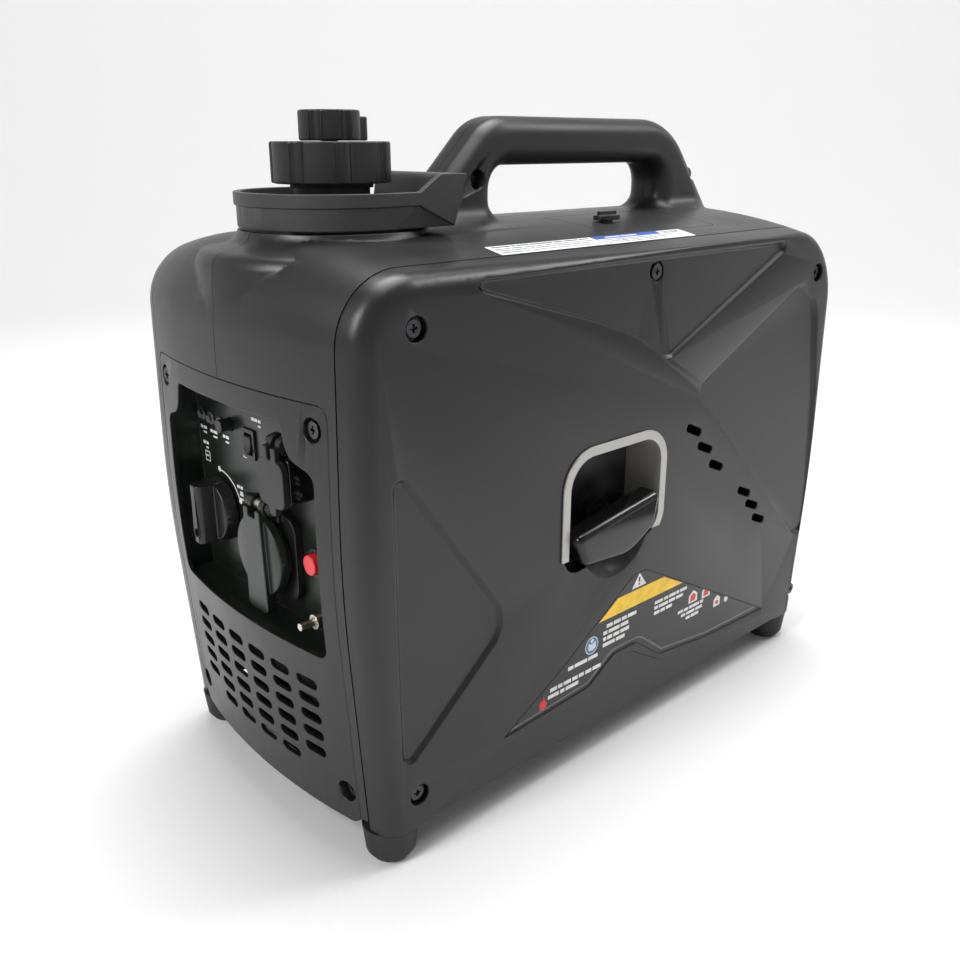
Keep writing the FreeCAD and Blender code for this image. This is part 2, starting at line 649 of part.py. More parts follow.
# ---- control panel ---------------------------------------------------------------------------------------
# The panel is a tray behind the opening: four walls and a floor that the controls pass through.
tray_block = block((f"{FRONT} + 4", f"{PANEL_X} + wall"), ("-opening_half - 4", "opening_half + 4"),
                   ("opening_low - 4", "opening_high + 4"))
tray_space = block((f"{FRONT} - 5", PANEL_X), ("-opening_half - 1", "opening_half + 1"),
                   ("opening_low - 1", "opening_high + 1"))
DIAL = (58, 172)
MAINS = (-8, 165)
DIRECT = (-35, 218)
SWITCH = (17, 223)
BREAKER = (-50, 170)
TERMINAL = (-58, 140)
RESET = (40, 230)
LAMPS = [(74, 230), (63, 229), (52, 228)]
through = (f"{PANEL_X} - 5", f"{PANEL_X} + 20")
openings = [rod("x", DIAL, *through, "5.2"), rod("x", BREAKER, *through, "button_radius + 2.05"),
            rod("x", TERMINAL, *through, "stud_radius + 0.1"), rod("x", RESET, *through, "4.3"),
            rod("x", MAINS, *through, "20"), rod("x", DIRECT, *through, "9"),
            block(through, (f"{SWITCH[0]} - 5", f"{SWITCH[0]} + 5"),
                  (f"{SWITCH[1]} - 7.5", f"{SWITCH[1]} + 7.5"))]
openings += [rod("x", lamp, *through, "2.6") for lamp in LAMPS]
control_panel = node(cut(shared(cut(tray_block, tray_space), inner_form), group(*openings),
                         *[rod("x", place, f"{FRONT} - 5", f"{FRONT} + 60",
                               "screw_well + 3") for place in END_SCREWS]),
                     "control_panel")


def screw(axis, place, face, sign, length, head="screw_radius"):
    """A pan head screw whose head sits at face and whose shank runs inwards (sign gives the way in)."""
    ends = (face, f"{face} + {sign} * 2.6", f"{face} + {sign} * {length}")
    head_span = (ends[0], ends[1]) if sign > 0 else (ends[1], ends[0])
    shank_span = (ends[1], ends[2]) if sign > 0 else (ends[2], ends[1])
    blank = joined(rod(axis, place, *head_span, head), rod(axis, place, *shank_span, "2"))
    depth = (face, f"{face} + {sign} * 1.6") if sign > 0 else (f"{face} - 1.6", face)
    thin, wide = (0.6, 2.2)
    spread = [[(f"{place[0]} - {a}", f"{place[0]} + {a}"), (f"{place[1]} - {b}", f"{place[1]} + {b}")]
              for a, b in ((thin, wide), (wide, thin))]
    spans = [((depth, *pair) if axis == "x" else (pair[0], depth, pair[1])) for pair in spread]
    return cut(blank, *[block(*span) for span in spans])


seated = list(zip(END_SCREWS, SEATS))
fascia_screws = node(group(*[screw("x", place, f"({FRONT} + {seat} - 2.6)", 1, 14) for place, seat in seated],
                           *[screw("x", place, f"({REAR} - {seat} + 2.6)", -1, 14) for place,
                             seat in seated]),
                     "fascia_screws")
cover_face = f"-({SIDE} - well_depth + 2.6)"
right_screws = group(*[screw("y", place, cover_face, 1, 14) for place in SIDE_SCREWS])
handle_screws = [screw("y", place, "(-10.6)", 1, 22) for place in HANDLE_SCREWS]
cover_screws = node(group(right_screws, mirrored(right_screws), *handle_screws), "cover_screws")

# ---- hatch -----------------------------------------------------------------------------------------------
hatch_room = plate("XY_Plane", hatch_corners, "body_top - 29", "body_top + 1", name="hatch_room")
KNOB = (26, -50)
knob_hole = rod("z", KNOB, "body_top - 40", "body_top + 5", "4.3")
top_hatch = node(cut(shared(cut(outer_form, inner_form), hatch_room), knob_hole), "top_hatch")
knob_low = "(body_top - 1.5)"
hatch_knob = node(joined(rod("z", KNOB, "body_top - 13", knob_low, 4),
                         plate("XY_Plane",
                               [(f"{KNOB[0]} - 10", f"{KNOB[1]} - 6", 5.9),
                                (f"{KNOB[0]} + 10", f"{KNOB[1]} - 6", 5.9),
                                            (f"{KNOB[0]} + 10", f"{KNOB[1]} + 6", 5.9),
                                (f"{KNOB[0]} - 10", f"{KNOB[1]} + 6", 5.9)],
                               knob_low, f"{knob_low} + 3"),
                         block((f"{KNOB[0]} - 8", f"{KNOB[0]} + 8"), (f"{KNOB[1]} - 1.5", f"{KNOB[1]} + 1.5"),
                               (f"{knob_low} + 3", f"{knob_low} + 5.5")),
                         block((f"{KNOB[0]} - 9", f"{KNOB[0]} + 3"), (f"{KNOB[1]} - 2.5", f"{KNOB[1]} + 2.5"),
                               ("body_top - 13", "body_top - 10.5"))), "hatch_knob")

# ---- service door ----------------------------------------------------------------------------------------
door_slab = plate("XZ_Plane", door_corners, f"{SIDE} - relief - wall", SIDE, name="door_slab")
DOOR_KNOB = (-8, 200)
service_door = node(cut(door_slab, rod("y", DOOR_KNOB, SEAM_Y, f"{SIDE} + 5", "4.3"),
                        plate("XZ_Plane", [(-46, 110, 6), (30, 110, 6), (30, 184, 6), (-46, 184, 6)],
                              f"{SIDE} - 1.6", f"{SIDE} + 1")), "service_door")
service_door_knob = node(joined(rod("y", DOOR_KNOB, f"{SIDE} - 14", f"{SIDE} + 0.3", 4),
                                rod("y", DOOR_KNOB, f"{SIDE} + 0.3", f"{SIDE} + 3.3", 11),
                                block((f"{DOOR_KNOB[0]} - 9", f"{DOOR_KNOB[0]} + 9"),
                                      (f"{SIDE} + 3.3", f"{SIDE} + 7"),
                                      (f"{DOOR_KNOB[1]} - 2", f"{DOOR_KNOB[1]} + 2")),
                                rod("x", (f"{SIDE} - 12.4", DOOR_KNOB[1]), f"{DOOR_KNOB[0]} - 6",
                                    f"{DOOR_KNOB[0]} + 6", 1.2)),
                         "service_door_knob")

# ---- spill tray, filler and caps -------------------------------------------------------------------------
TRAY_BACK = "(filler_x + tray_radius - 4)"


def tray_outline(grow):
    """A half circle round the filler, run straight back to the handle."""
    edge = f"(tray_radius + {grow})"
    return [(TRAY_BACK, f"-{edge}"), (TRAY_BACK, edge),
            (f"filler_x - {edge}", edge, f"{edge} - 0.1"),
            (f"filler_x - {edge}", f"-{edge}", f"{edge} - 0.1")]


tray_solid = joined(plate("XY_Plane", tray_outline(-1.2), TRAY_BASE, f"{TRAY_BASE} + 12", name="tray_low"),
                    plate("XY_Plane", tray_outline(0), f"{TRAY_BASE} + 11.5", TRAY_TOP, name="tray_rim"))
tray_dish = plate("XY_Plane", tray_outline(-4), f"{TRAY_BASE} + 10", f"{TRAY_TOP} + 1", name="tray_dish")
tray_wall = plate("XZ_Plane",
                  [("filler_x + 42", f"{TRAY_BASE} + 10"), ("filler_x + 45", f"{TRAY_TOP} + 9", 4),
                               ("filler_x + 52.5", f"{TRAY_TOP} + 9"), ("filler_x + 43.5", TRAY_BASE)],
                  "-tray_radius + 1", "20", name="tray_wall")
near_wall = plate("XZ_Plane", [("filler_x + 20", f"{TRAY_BASE} + 11"), ("filler_x + 20", TRAY_TOP),
                               ("filler_x + 34", f"{TRAY_TOP} + 9", 4),
                               ("filler_x + 52.5", f"{TRAY_TOP} + 9"),
                               ("filler_x + 43.5", TRAY_BASE)],
                  "-tray_radius", "-tray_radius + 4", name="near_wall")
slant = plate("XZ_Plane", [("filler_x + 43.5", f"{TRAY_BASE} - 1"), ("filler_x + 60", f"{TRAY_TOP} + 22"),
                           ("filler_x + 80", f"{TRAY_TOP} + 22"), ("filler_x + 80", f"{TRAY_BASE} - 1")],
              "-200", "200", name="slant")
bow_clear = plate("XZ_Plane", bow_outline, "-handle_width / 2 - seam", "handle_width / 2 + seam",
                  name="bow_clear")
tray_bore = rod("z", ("filler_x", 0), f"{TRAY_BASE} - 5", f"{TRAY_BASE} + 20", "neck_radius + seam")
fuel_tray = node(cut(joined(cut(tray_solid, tray_dish), tray_wall, near_wall), tray_bore, bow_clear, slant,
                     housing),
                 "fuel_tray")
NECK_TOP = f"({CAP_BASE} - 1)"
filler_neck = node(cut(rod("z", ("filler_x", 0), "body_top - 38", NECK_TOP, "neck_radius"),
                       rod("z", ("filler_x", 0), "body_top - 39", f"{NECK_TOP} + 1", "neck_radius - 2.5")),
                   "filler_neck")
cap_plug = node(cut(rod("z", ("filler_x", 0), f"{CAP_BASE} - 22", f"{CAP_BASE} + 8",
                        "neck_radius - 2.5 - fit_gap"),
                    rod("z", ("filler_x", 0), f"{CAP_BASE} - 23", f"{CAP_BASE} + 4", "neck_radius - 6")),
                "cap_plug")
cap_gasket = node(cut(rod("z", ("filler_x", 0), NECK_TOP, f"{CAP_BASE} + 1", "neck_radius + 2"),
                      rod("z", ("filler_x", 0), f"{CAP_BASE} - 5", f"{CAP_BASE} + 5",
                          "neck_radius - 2.5 - fit_gap")),
                  "cap_gasket")


def lobed(radius, low, high, lobes, notch, name):
    """A knob with finger flats round its edge."""
    blank = rod("z", ("filler_x", 0), low, high, radius, name=name)
    flats = []
    for i in range(lobes):
        angle = 2 * math.pi * (i + 0.5) / lobes
        x, y = math.cos(angle), math.sin(angle)
        reach = f"({radius} + {notch} * 0.62)"
        flats.append(rod("z", (f"filler_x + {x:.5f} * {reach}", f"{y:.5f} * {reach}"), f"{low} - 1",
                         f"{high} + 1", notch))
    return cut(blank, group(*flats))


CAP_TOP = f"({CAP_BASE} + cap_height)"
cap_blank = lobed("cap_radius", f"{CAP_BASE} + 1 + fit_gap", CAP_TOP, 8, 6, "cap")
cap_inside = rod("z", ("filler_x", 0), f"{CAP_BASE} - 1", f"{CAP_BASE} + 8 + fit_gap",
                 "neck_radius + 2 + fit_gap")
vent_pin_hole = rod("z", ("filler_x", 0), f"{CAP_TOP} - 8", f"{CAP_TOP} + 1", "4 + 0.06")
fuel_cap = node(cut(cap_blank, cap_inside, vent_pin_hole), "fuel_cap")
VENT_LOW = f"({CAP_TOP} + fit_gap)"
VENT_TOP = f"({CAP_TOP} + vent_height)"
vent_lever = plate("XY_Plane",
                   [("filler_x", -6), ("filler_x + 24", -4.5, 4), ("filler_x + 24", 4.5, 4), ("filler_x", 6)],
                   VENT_LOW, f"{VENT_TOP} - 3", name="vent_lever")
vent_knob = node(joined(lobed("vent_radius", VENT_LOW, VENT_TOP, 6, 4, "vent"), vent_lever,
                        rod("z", ("filler_x", 0), f"{CAP_TOP} - 7", f"{VENT_LOW} + 1", 4)), "vent_knob")

# ---- controls --------------------------------------------------------------------------------------------
# The fuel dial is a disc with a pinch grip; its spindle runs back to the fuel tap.
DIAL_LOW = f"({PANEL_X} - 1)"
dial_disc = taper("x", DIAL, f"{PANEL_X} - 9", DIAL_LOW, "dial_radius - 2", "dial_radius", name="dial_disc")
dial_bar = plate("XY_Plane",
                 [(f"{PANEL_X} - 20", f"{DIAL[0]} - 5", 4), (f"{PANEL_X} - 20", f"{DIAL[0]} + 5", 4),
                              (f"{PANEL_X} - 8", f"{DIAL[0]} + 7"), (f"{PANEL_X} - 8", f"{DIAL[0]} - 7")],
                 f"{DIAL[1]} - dial_radius + 2", f"{DIAL[1]} + dial_radius - 2", name="dial_bar")
dial_eye = rod("x", (DIAL[0], DIAL[1] - 12), f"{PANEL_X} - 21", f"{PANEL_X} - 14", 2.6)
dial_socket = rod("x", DIAL, f"{PANEL_X} - 6", f"{PANEL_X}", "5.02")
fuel_dial = node(cut(joined(dial_disc, dial_bar), dial_eye, dial_socket), "fuel_dial")
dial_spindle = node(joined(rod("x", DIAL, f"{PANEL_X} - 6", f"{PANEL_X} + 38", 5),
                           rod("x", DIAL, f"{PANEL_X} + 3.3", f"{PANEL_X} + 5.5", 8)), "dial_spindle")
fuel_tap = node(cut(block((f"{PANEL_X} + 24", f"{PANEL_X} + 44"), (f"{DIAL[0]} - 11", f"{DIAL[0]} + 11"),
                          (f"{DIAL[1]} - 14", f"{DIAL[1]} + 14")),
                    rod("x", DIAL, f"{PANEL_X} + 20", f"{PANEL_X} + 39", "5.06")), "fuel_tap")

# The switch frame holds a rocker on a pin.
sw = (f"{SWITCH[0]}", f"{SWITCH[1]}")
frame_block = joined(block((f"{PANEL_X} - 1.5", PANEL_X), (f"{sw[0]} - 6.5", f"{sw[0]} + 6.5"),
                           (f"{sw[1]} - 9", f"{sw[1]} + 9")),
                     block((PANEL_X, f"{PANEL_X} + 14"), (f"{sw[0]} - 5", f"{sw[0]} + 5"),
                           (f"{sw[1]} - 7.5", f"{sw[1]} + 7.5")))
trunnion = (f"{PANEL_X} + 1.5", sw[1])
switch_frame = node(cut(frame_block, rod("y", trunnion, f"{sw[0]} - 4.8", f"{sw[0]} + 4.8", 1.26),
                        block((f"{PANEL_X} - 2", f"{PANEL_X} + 10"), (f"{sw[0]} - 4", f"{sw[0]} + 4"),
                                           (f"{sw[1]} - 6.5", f"{sw[1]} + 6.5"))), "switch_frame")
rocker_corners = [(f"{PANEL_X} - 4.2", f"{sw[1]} - 5.6", 1), (f"{PANEL_X} - 1.8", sw[1], 12),
                  (f"{PANEL_X} - 2.8", f"{sw[1]} + 5.6", 1),
                  (f"{PANEL_X} + 4", f"{sw[1]} + 3"), (f"{PANEL_X} + 4", f"{sw[1]} - 3")]
eco_rocker = node(joined(plate("XZ_Plane", rocker_corners, f"{sw[0]} - 3.6", f"{sw[0]} + 3.6", name="rocker"),
                         rod("y", trunnion, f"{sw[0]} - 4.7", f"{sw[0]} + 4.7", 1.2)), "eco_rocker")
indicator_lamps = node(group(*[joined(rod("x", lamp, f"{PANEL_X} - 3", f"{PANEL_X} + 6", 2.5),
                                      rod("x", lamp, f"{PANEL_X} - 1.2", PANEL_X, 4)) for lamp in LAMPS]),
                       "indicator_lamps")
reset_button = node(joined(rod("x", RESET, f"{PANEL_X} - 8", f"{PANEL_X} + 8", 4),
                           rod("x", RESET, f"{PANEL_X} + 6", f"{PANEL_X} + 8", 6)), "reset_button")

# The 12 volt socket stands proud of the panel under a hinged rubber cap.
DC_FACE = f"({PANEL_X} - 14)"
dc_corners = [(f"{DIRECT[0]} - 13", f"{DIRECT[1]} - 13", 3), (f"{DIRECT[0]} + 13", f"{DIRECT[1]} - 13", 3),
              (f"{DIRECT[0]} + 13", f"{DIRECT[1]} + 13", 3), (f"{DIRECT[0]} - 13", f"{DIRECT[1]} + 13", 3)]
dc_ears = [rod("y", (f"{DC_FACE} + 4", f"{DIRECT[1]} + 19"), f"{DIRECT[0]} + {low}", f"{DIRECT[0]} + {high}",
               3.4)
           for low, high in ((-11, -7.3), (7.3, 11))]
ear_roots = [block((f"{DC_FACE} + 2", PANEL_X), (f"{DIRECT[0]} + {low}", f"{DIRECT[0]} + {high}"),
                   (f"{DIRECT[1]} + 12", f"{DIRECT[1]} + 19")) for low, high in ((-11, -7.3), (7.3, 11))]
dc_pin_spot = (f"{DC_FACE} + 4", f"{DIRECT[1]} + 19")
dc_socket = node(cut(joined(plate("YZ_Plane", dc_corners, DC_FACE, PANEL_X, name="dc_body"),
                            rod("x", DIRECT, PANEL_X, f"{PANEL_X} + 16", "8.9"), *dc_ears, *ear_roots),
                     rod("x", DIRECT, f"{DC_FACE} - 1", f"{PANEL_X} + 12", 7),
                     rod("y", dc_pin_spot, f"{DIRECT[0]} - 14", f"{DIRECT[0]} + 14", 1.5)), "dc_socket")
dc_cap_corners = [(f"{DIRECT[0]} - 13", f"{DIRECT[1]} - 14", 5), (f"{DIRECT[0]} - 4", f"{DIRECT[1]} - 15"),
                  (f"{DIRECT[0]} - 3", f"{DIRECT[1]} - 20", 2), (f"{DIRECT[0]} + 3", f"{DIRECT[1]} - 20", 2),
                  (f"{DIRECT[0]} + 4", f"{DIRECT[1]} - 15"), (f"{DIRECT[0]} + 13", f"{DIRECT[1]} - 14", 5),
                  (f"{DIRECT[0]} + 13", f"{DIRECT[1]} + 12", 7),
                  (f"{DIRECT[0]} - 13", f"{DIRECT[1]} + 12", 7)]
dc_straps = [block((f"{DC_FACE} - 4 - fit_gap", f"{DC_FACE} - 1"),
                   (f"{DIRECT[0]} + {low}", f"{DIRECT[0]} + {high}"),
                   (f"{DIRECT[1]} + 10", f"{DIRECT[1]} + 19")) for low, high in ((-6.5, -2), (2, 6.5))]
dc_barrel = [rod("y", dc_pin_spot, f"{DIRECT[0]} + {low}", f"{DIRECT[0]} + {high}", 5.4) for low,
             high in ((-6.5, -2), (2, 6.5))]
dc_cap_plate = joined(plate("YZ_Plane", dc_cap_corners, f"{DC_FACE} - 4 - fit_gap", f"{DC_FACE} - fit_gap",
                            name="dc_cap"),
                      *dc_straps, *dc_barrel)
dc_cap = node(cut(dc_cap_plate, rod("y", dc_pin_spot, f"{DIRECT[0]} - 14", f"{DIRECT[0]} + 14", 1.56),
                  block((f"{DC_FACE} - fit_gap", f"{DC_FACE} + 20"),
                        (f"{DIRECT[0]} - 14", f"{DIRECT[0]} + 14"),
                        (f"{DIRECT[1]} - 20", f"{DIRECT[1]} + 13.3"))), "dc_socket_cap")
dc_cap_pin = node(rod("y", dc_pin_spot, f"{DIRECT[0]} - 11", f"{DIRECT[0]} + 11", 1.5), "dc_cap_pin")

# The mains socket has a round sprung lid on a hinge pin.
AC_FACE = f"({PANEL_X} - 9)"
ac_pin_spot = (f"{AC_FACE} - 1", f"{MAINS[1]} + 30")
ac_flange = plate("YZ_Plane",
                  [(f"{MAINS[0]} - 26", f"{MAINS[1]} - 26", 10), (f"{MAINS[0]} + 26", f"{MAINS[1]} - 26", 10),
                               (f"{MAINS[0]} + 26", f"{MAINS[1]} + 26", 10),
                   (f"{MAINS[0]} - 26", f"{MAINS[1]} + 26", 10)],
                  f"{PANEL_X} - 5", PANEL_X, name="ac_flange")
ac_ears = [rod("y", ac_pin_spot, f"{MAINS[0]} + {low}", f"{MAINS[0]} + {high}", 3.6) for low,
           high in ((-14, -9.3), (9.3, 14))]
ac_roots = [block((f"{AC_FACE} + 1", PANEL_X), (f"{MAINS[0]} + {low}", f"{MAINS[0]} + {high}"),
                  (f"{MAINS[1]} + 22", f"{MAINS[1]} + 32")) for low, high in ((-14, -9.3), (9.3, 14))]
ac_body = joined(ac_flange, rod("x", MAINS, AC_FACE, f"{PANEL_X} + 26", "19.9"), *ac_ears, *ac_roots)
pin_holes = [rod("x", (MAINS[0] + i * 9.5, MAINS[1]), f"{AC_FACE} - 5", f"{PANEL_X} + 18", 2.4) for i in (-1,
                                                                                                          1)]
ac_socket = node(cut(ac_body, rod("x", MAINS, f"{AC_FACE} - 1", f"{PANEL_X} + 5", 17), group(*pin_holes),
                     rod("y", ac_pin_spot, f"{MAINS[0]} - 16", f"{MAINS[0]} + 16", 1.5)), "ac_socket")
lid_disc = taper("x", MAINS, f"{AC_FACE} - 5 - fit_gap", f"{AC_FACE} - fit_gap", "socket_radius - 1",
                 "socket_radius", name="lid")
lid_band = plate("YZ_Plane",
                 [(f"{MAINS[0]} - 11", f"{MAINS[1]} - 34", 4), (f"{MAINS[0]} + 11", f"{MAINS[1]} - 34", 4),
                              (f"{MAINS[0]} + 8.7", f"{MAINS[1]} + 29"),
                  (f"{MAINS[0]} - 8.7", f"{MAINS[1]} + 29")],
                 f"{AC_FACE} - 8", f"{AC_FACE} - 2", name="lid_band")
lid_barrel = rod("y", ac_pin_spot, f"{MAINS[0]} - 9", f"{MAINS[0]} + 9", 4.6)
lid_slot = block((f"{AC_FACE} - 12", f"{AC_FACE} + 6"), (f"{MAINS[0]} - 4", f"{MAINS[0]} + 4"),
                 (f"{MAINS[1]} + 24", f"{MAINS[1]} + 36"))
ac_lid = node(cut(joined(lid_disc, lid_band, lid_barrel), lid_slot,
                  rod("y", ac_pin_spot, f"{MAINS[0]} - 16", f"{MAINS[0]} + 16", 1.56)), "ac_socket_lid")
ac_lid_pin = node(rod("y", ac_pin_spot, f"{MAINS[0]} - 14", f"{MAINS[0]} + 14", 1.5), "ac_lid_pin")
ac_lid_spring = node(cut(rod("y", ac_pin_spot, f"{MAINS[0]} - 3.6", f"{MAINS[0]} + 3.6", 3),
                         rod("y", ac_pin_spot, f"{MAINS[0]} - 5", f"{MAINS[0]} + 5", 1.7)), "ac_lid_spring")

# The breaker is a red push button in a collar; the ground terminal is a stud with a nut and washer.
breaker_button = node(joined(rod("x", BREAKER, f"{PANEL_X} - 7", f"{PANEL_X} + 5", "button_radius"),
                             rod("x", BREAKER, f"{PANEL_X} + 5", f"{PANEL_X} + 7", "button_radius + 2")),
                      "breaker_button")
breaker_body = node(cut(joined(block((f"{PANEL_X} + 3", f"{PANEL_X} + 24"),
                                     (f"{BREAKER[0]} - 10", f"{BREAKER[0]} + 10"),
                                     (f"{BREAKER[1]} - 14", f"{BREAKER[1]} + 14")),
                               rod("x", BREAKER, f"{PANEL_X} - 3", PANEL_X, "button_radius + 2.6"),
                               rod("x", BREAKER, PANEL_X, f"{PANEL_X} + 3", "button_radius + 2")),
                        rod("x", BREAKER, f"{PANEL_X} - 4", f"{PANEL_X} + 5 - fit_gap",
                            "button_radius + fit_gap"),
                        rod("x", BREAKER, f"{PANEL_X} + 5 - fit_gap", f"{PANEL_X} + 12",
                            "button_radius + 2 + fit_gap")),
                    "breaker_body")
washer = cut(rod("x", TERMINAL, f"{PANEL_X} - 1.2", PANEL_X, 6.5),
             rod("x", TERMINAL, f"{PANEL_X} - 2", PANEL_X, "stud_radius"))
ground_terminal = node(joined(rod("x", TERMINAL, f"{PANEL_X} - 20", f"{PANEL_X} - 11", "stud_radius - 0.3"),
                              rod("x", TERMINAL, f"{PANEL_X} - 11", f"{PANEL_X} + 8", "stud_radius"),
                              rod("x", TERMINAL, f"{PANEL_X} + 3", f"{PANEL_X} + 6", 5), washer),
                       "ground_terminal")
hexagon = [(f"{TERMINAL[0]} + {5.2 * math.cos(math.pi * i / 3):.4f}",
            f"{TERMINAL[1]} + {5.2 * math.sin(math.pi * i / 3):.4f}")
           for i in range(6)]
ground_nut = node(cut(joined(plate("YZ_Plane", hexagon, f"{PANEL_X} - 6.2", f"{PANEL_X} - 1.3", name="nut"),
                             rod("x", TERMINAL, f"{PANEL_X} - 11", f"{PANEL_X} - 6", 4.4)),
                      rod("x", TERMINAL, f"{PANEL_X} - 12", PANEL_X, "stud_radius + 0.06")), "ground_nut")

# ---- pull starter ----------------------------------------------------------------------------------------
def window_outline(grow):
    """The starter window, grown outwards by a distance."""
    left, right = (f"(recess_x - recess_width / 2 - {grow})", f"(recess_x + recess_width / 2 + {grow})")
    low, top = (f"(recess_z - recess_height / 2 - {grow})", f"(recess_z + recess_height / 2 + {grow})")
    return [(left, f"{low} + 8", f"12 + {grow}"), (right, f"{low} + 16", f"16 + {grow}"),
            (right, top, f"20 + {grow}"), (left, top, f"22 + {grow}")]


BACK = f"({SIDE} - recess_depth)"
bezel_wall = cut(plate("XZ_Plane", window_outline("(-seam)"), f"-{SIDE}", f"-{BACK}", name="bezel_wall"),
                 plate("XZ_Plane", window_outline("(-seam - 2.2)"), f"-({SIDE} + 3)", f"-{BACK} + 1",
                       name="bezel_space"))
bezel_flange = cut(plate("XZ_Plane", window_outline("3.5"), f"-({SIDE} + 1.4)", f"-{SIDE}",
                         name="bezel_flange"),
                   plate("XZ_Plane", window_outline("(-seam - 2.2)"), f"-({SIDE} + 3)", f"-{BACK} + 1",
                         name="bezel_mouth"))
below_rim = block(("recess_x - recess_width", "recess_x + recess_width"), (f"-({SIDE} + 4)", f"-{BACK} + 2"),
                  ("recess_z - 90", "recess_z - recess_height / 2 + 19"))
recess_bezel = node(cut(joined(bezel_wall, bezel_flange), below_rim, grip_room), "recess_bezel")
ROPE = ("recess_x + 8", "recess_z - 12")
cup_plate = plate("XZ_Plane", window_outline("4"), f"-{BACK}", f"-{BACK} + wall", name="cup_plate")
cup_boss = rod("y", ROPE, f"-{BACK} - 7", f"-{BACK}", 11)
cup_stop = rod("y", ("recess_x + 32", "recess_z - 10"), f"-{BACK} - 9", f"-{BACK}", 5.5)
cup_sill = cut(cut(plate("XZ_Plane", window_outline("(-seam)"), f"-({SIDE} - 10)", f"-{BACK}",
                         name="cup_sill"),
                   plate("XZ_Plane", window_outline("(-seam - 2.2)"), f"-({SIDE} + 3)", f"-{BACK} + 1",
                         name="cup_space")),
               block(("recess_x - recess_width", "recess_x + recess_width"),
                     (f"-({SIDE} + 4)", f"-{BACK} + 2"),
                     ("recess_z - recess_height / 2 + 19", "recess_z + 90")))
recess_cup = node(cut(joined(cup_plate, cup_boss, cup_stop, cup_sill), grip_room,
                      rod("y", ROPE, f"-{BACK} - 30", f"-{BACK} + 9", 6.5)),
                  "recess_cup")
rope_guide = node(cut(rod("y", ROPE, f"-{BACK} - 8.5", f"-{BACK} + wall", 6.5),
                      rod("y", ROPE, f"-{BACK} - 9", f"-{BACK} + wall + 1", "rope_radius + fit_gap")),
                  "rope_guide")
grip_blank = plate("XZ_Plane", grip_outline(0), f"-({SIDE} + 8)", f"-{GRIP_BACK}", name="grip_blank")
starter_grip = node(cut(rounded(grip_blank, "4.5", lambda edge: edge.BoundBox.YLength < 0.01),
                        rod("y", ROPE, f"-({SIDE} + 4)", f"-{GRIP_BACK} + 1", "rope_radius + fit_gap")),
                    "starter_grip")
starter_rope = node(rod("y", ROPE, f"-({SIDE} + 4 - fit_gap)", f"-{BACK} + wall", "rope_radius"),
                    "starter_rope")
CRANK = ("crank_x", "crank_z")
HOUSE_Y = f"(-{BACK} + wall + seam)"
housing_drum = cut(rod("y", CRANK, HOUSE_Y, f"{HOUSE_Y} + 22", 64),
                   rod("y", CRANK, f"{HOUSE_Y} + 2.5", f"{HOUSE_Y} + 30", 61))
starter_housing = node(cut(joined(housing_drum, rod("y", CRANK, HOUSE_Y, f"{HOUSE_Y} + 18", 8)),
                           block(("crank_x - 80", "crank_x - 50"), (f"{HOUSE_Y} + 3", f"{HOUSE_Y} + 30"),
                                 ("crank_z", "crank_z + 40"))),
                       "starter_housing")
REEL_Y = f"({HOUSE_Y} + 3)"
rope_reel = node(turned([("8.06", 0), ("reel_radius + 6", 0), ("reel_radius + 6", 1.5), ("reel_radius", 1.5),
                         ("reel_radius", 11),
                         ("reel_radius + 6", 11), ("reel_radius + 6", 12.5), ("24", 12.5), ("24", 7),
                         ("8.06", 7)],
                        ("crank_x", REEL_Y, "crank_z"), "y", name="reel"), "rope_reel")
rewind_spring = node(cut(rod("y", CRANK, f"{REEL_Y} + 7.6", f"{REEL_Y} + 12", 22),
                         rod("y", CRANK, REEL_Y, f"{REEL_Y} + 20", 8)),
                     "rewind_spring")

# ---- engine and alternator -------------------------------------------------------------------------------
FAN_Y = f"({HOUSE_Y} + 23)"
def fan_blade(index):
    """One curved blade of the fan, standing on its disc."""
    turn = math.pi / 6 * index
    spots = [(36, turn - 0.03), (36, turn + 0.03), (55, turn + 0.13), (55, turn + 0.09)]
    corners = [(f"crank_x + {r * math.cos(a):.4f}", f"crank_z + {r * math.sin(a):.4f}") for r, a in spots]
    return plate("XZ_Plane", corners, f"{FAN_Y} + 2", f"{FAN_Y} + 12", name="blade")


blades = [fan_blade(index) for index in range(12)]
fan_disc = cut(rod("y", CRANK, FAN_Y, f"{FAN_Y} + 2.5", 57),
               rod("y", CRANK, f"{FAN_Y} - 1", f"{FAN_Y} + 4", "crank_radius"))
ROTOR_Y = f"({FAN_Y} + 3)"
rotor_cup = cut(rod("y", CRANK, ROTOR_Y, f"{ROTOR_Y} + 30", 34),
                rod("y", CRANK, f"{ROTOR_Y} + 3", f"{ROTOR_Y} + 31", 29),
                rod("y", CRANK, f"{ROTOR_Y} - 1", f"{ROTOR_Y} + 4", "crank_radius"))
alternator_rotor = node(rotor_cup, "alternator_rotor")
BLOCK_Y = f"({ROTOR_Y} + 32)"
alternator_stator = node(cut(rod("y", CRANK, f"{ROTOR_Y} + 5", BLOCK_Y, 27),
                             rod("y", CRANK, f"{ROTOR_Y} + 4", f"{BLOCK_Y} + 1", 13)),
                         "alternator_stator")
crankcase = block(("crank_x - 42", "crank_x + 42"), (BLOCK_Y, f"{BLOCK_Y} + 70"),
                  ("crank_z - 90", "crank_z + 46"))
barrel = rod("z", ("crank_x", f"{BLOCK_Y} + 35"), "crank_z + 46", "crank_z + 92", 26)
fins = [rod("z", ("crank_x", f"{BLOCK_Y} + 35"), f"crank_z + {51 + 8 * i}", f"crank_z + {54 + 8 * i}",
            38) for i in range(5)]
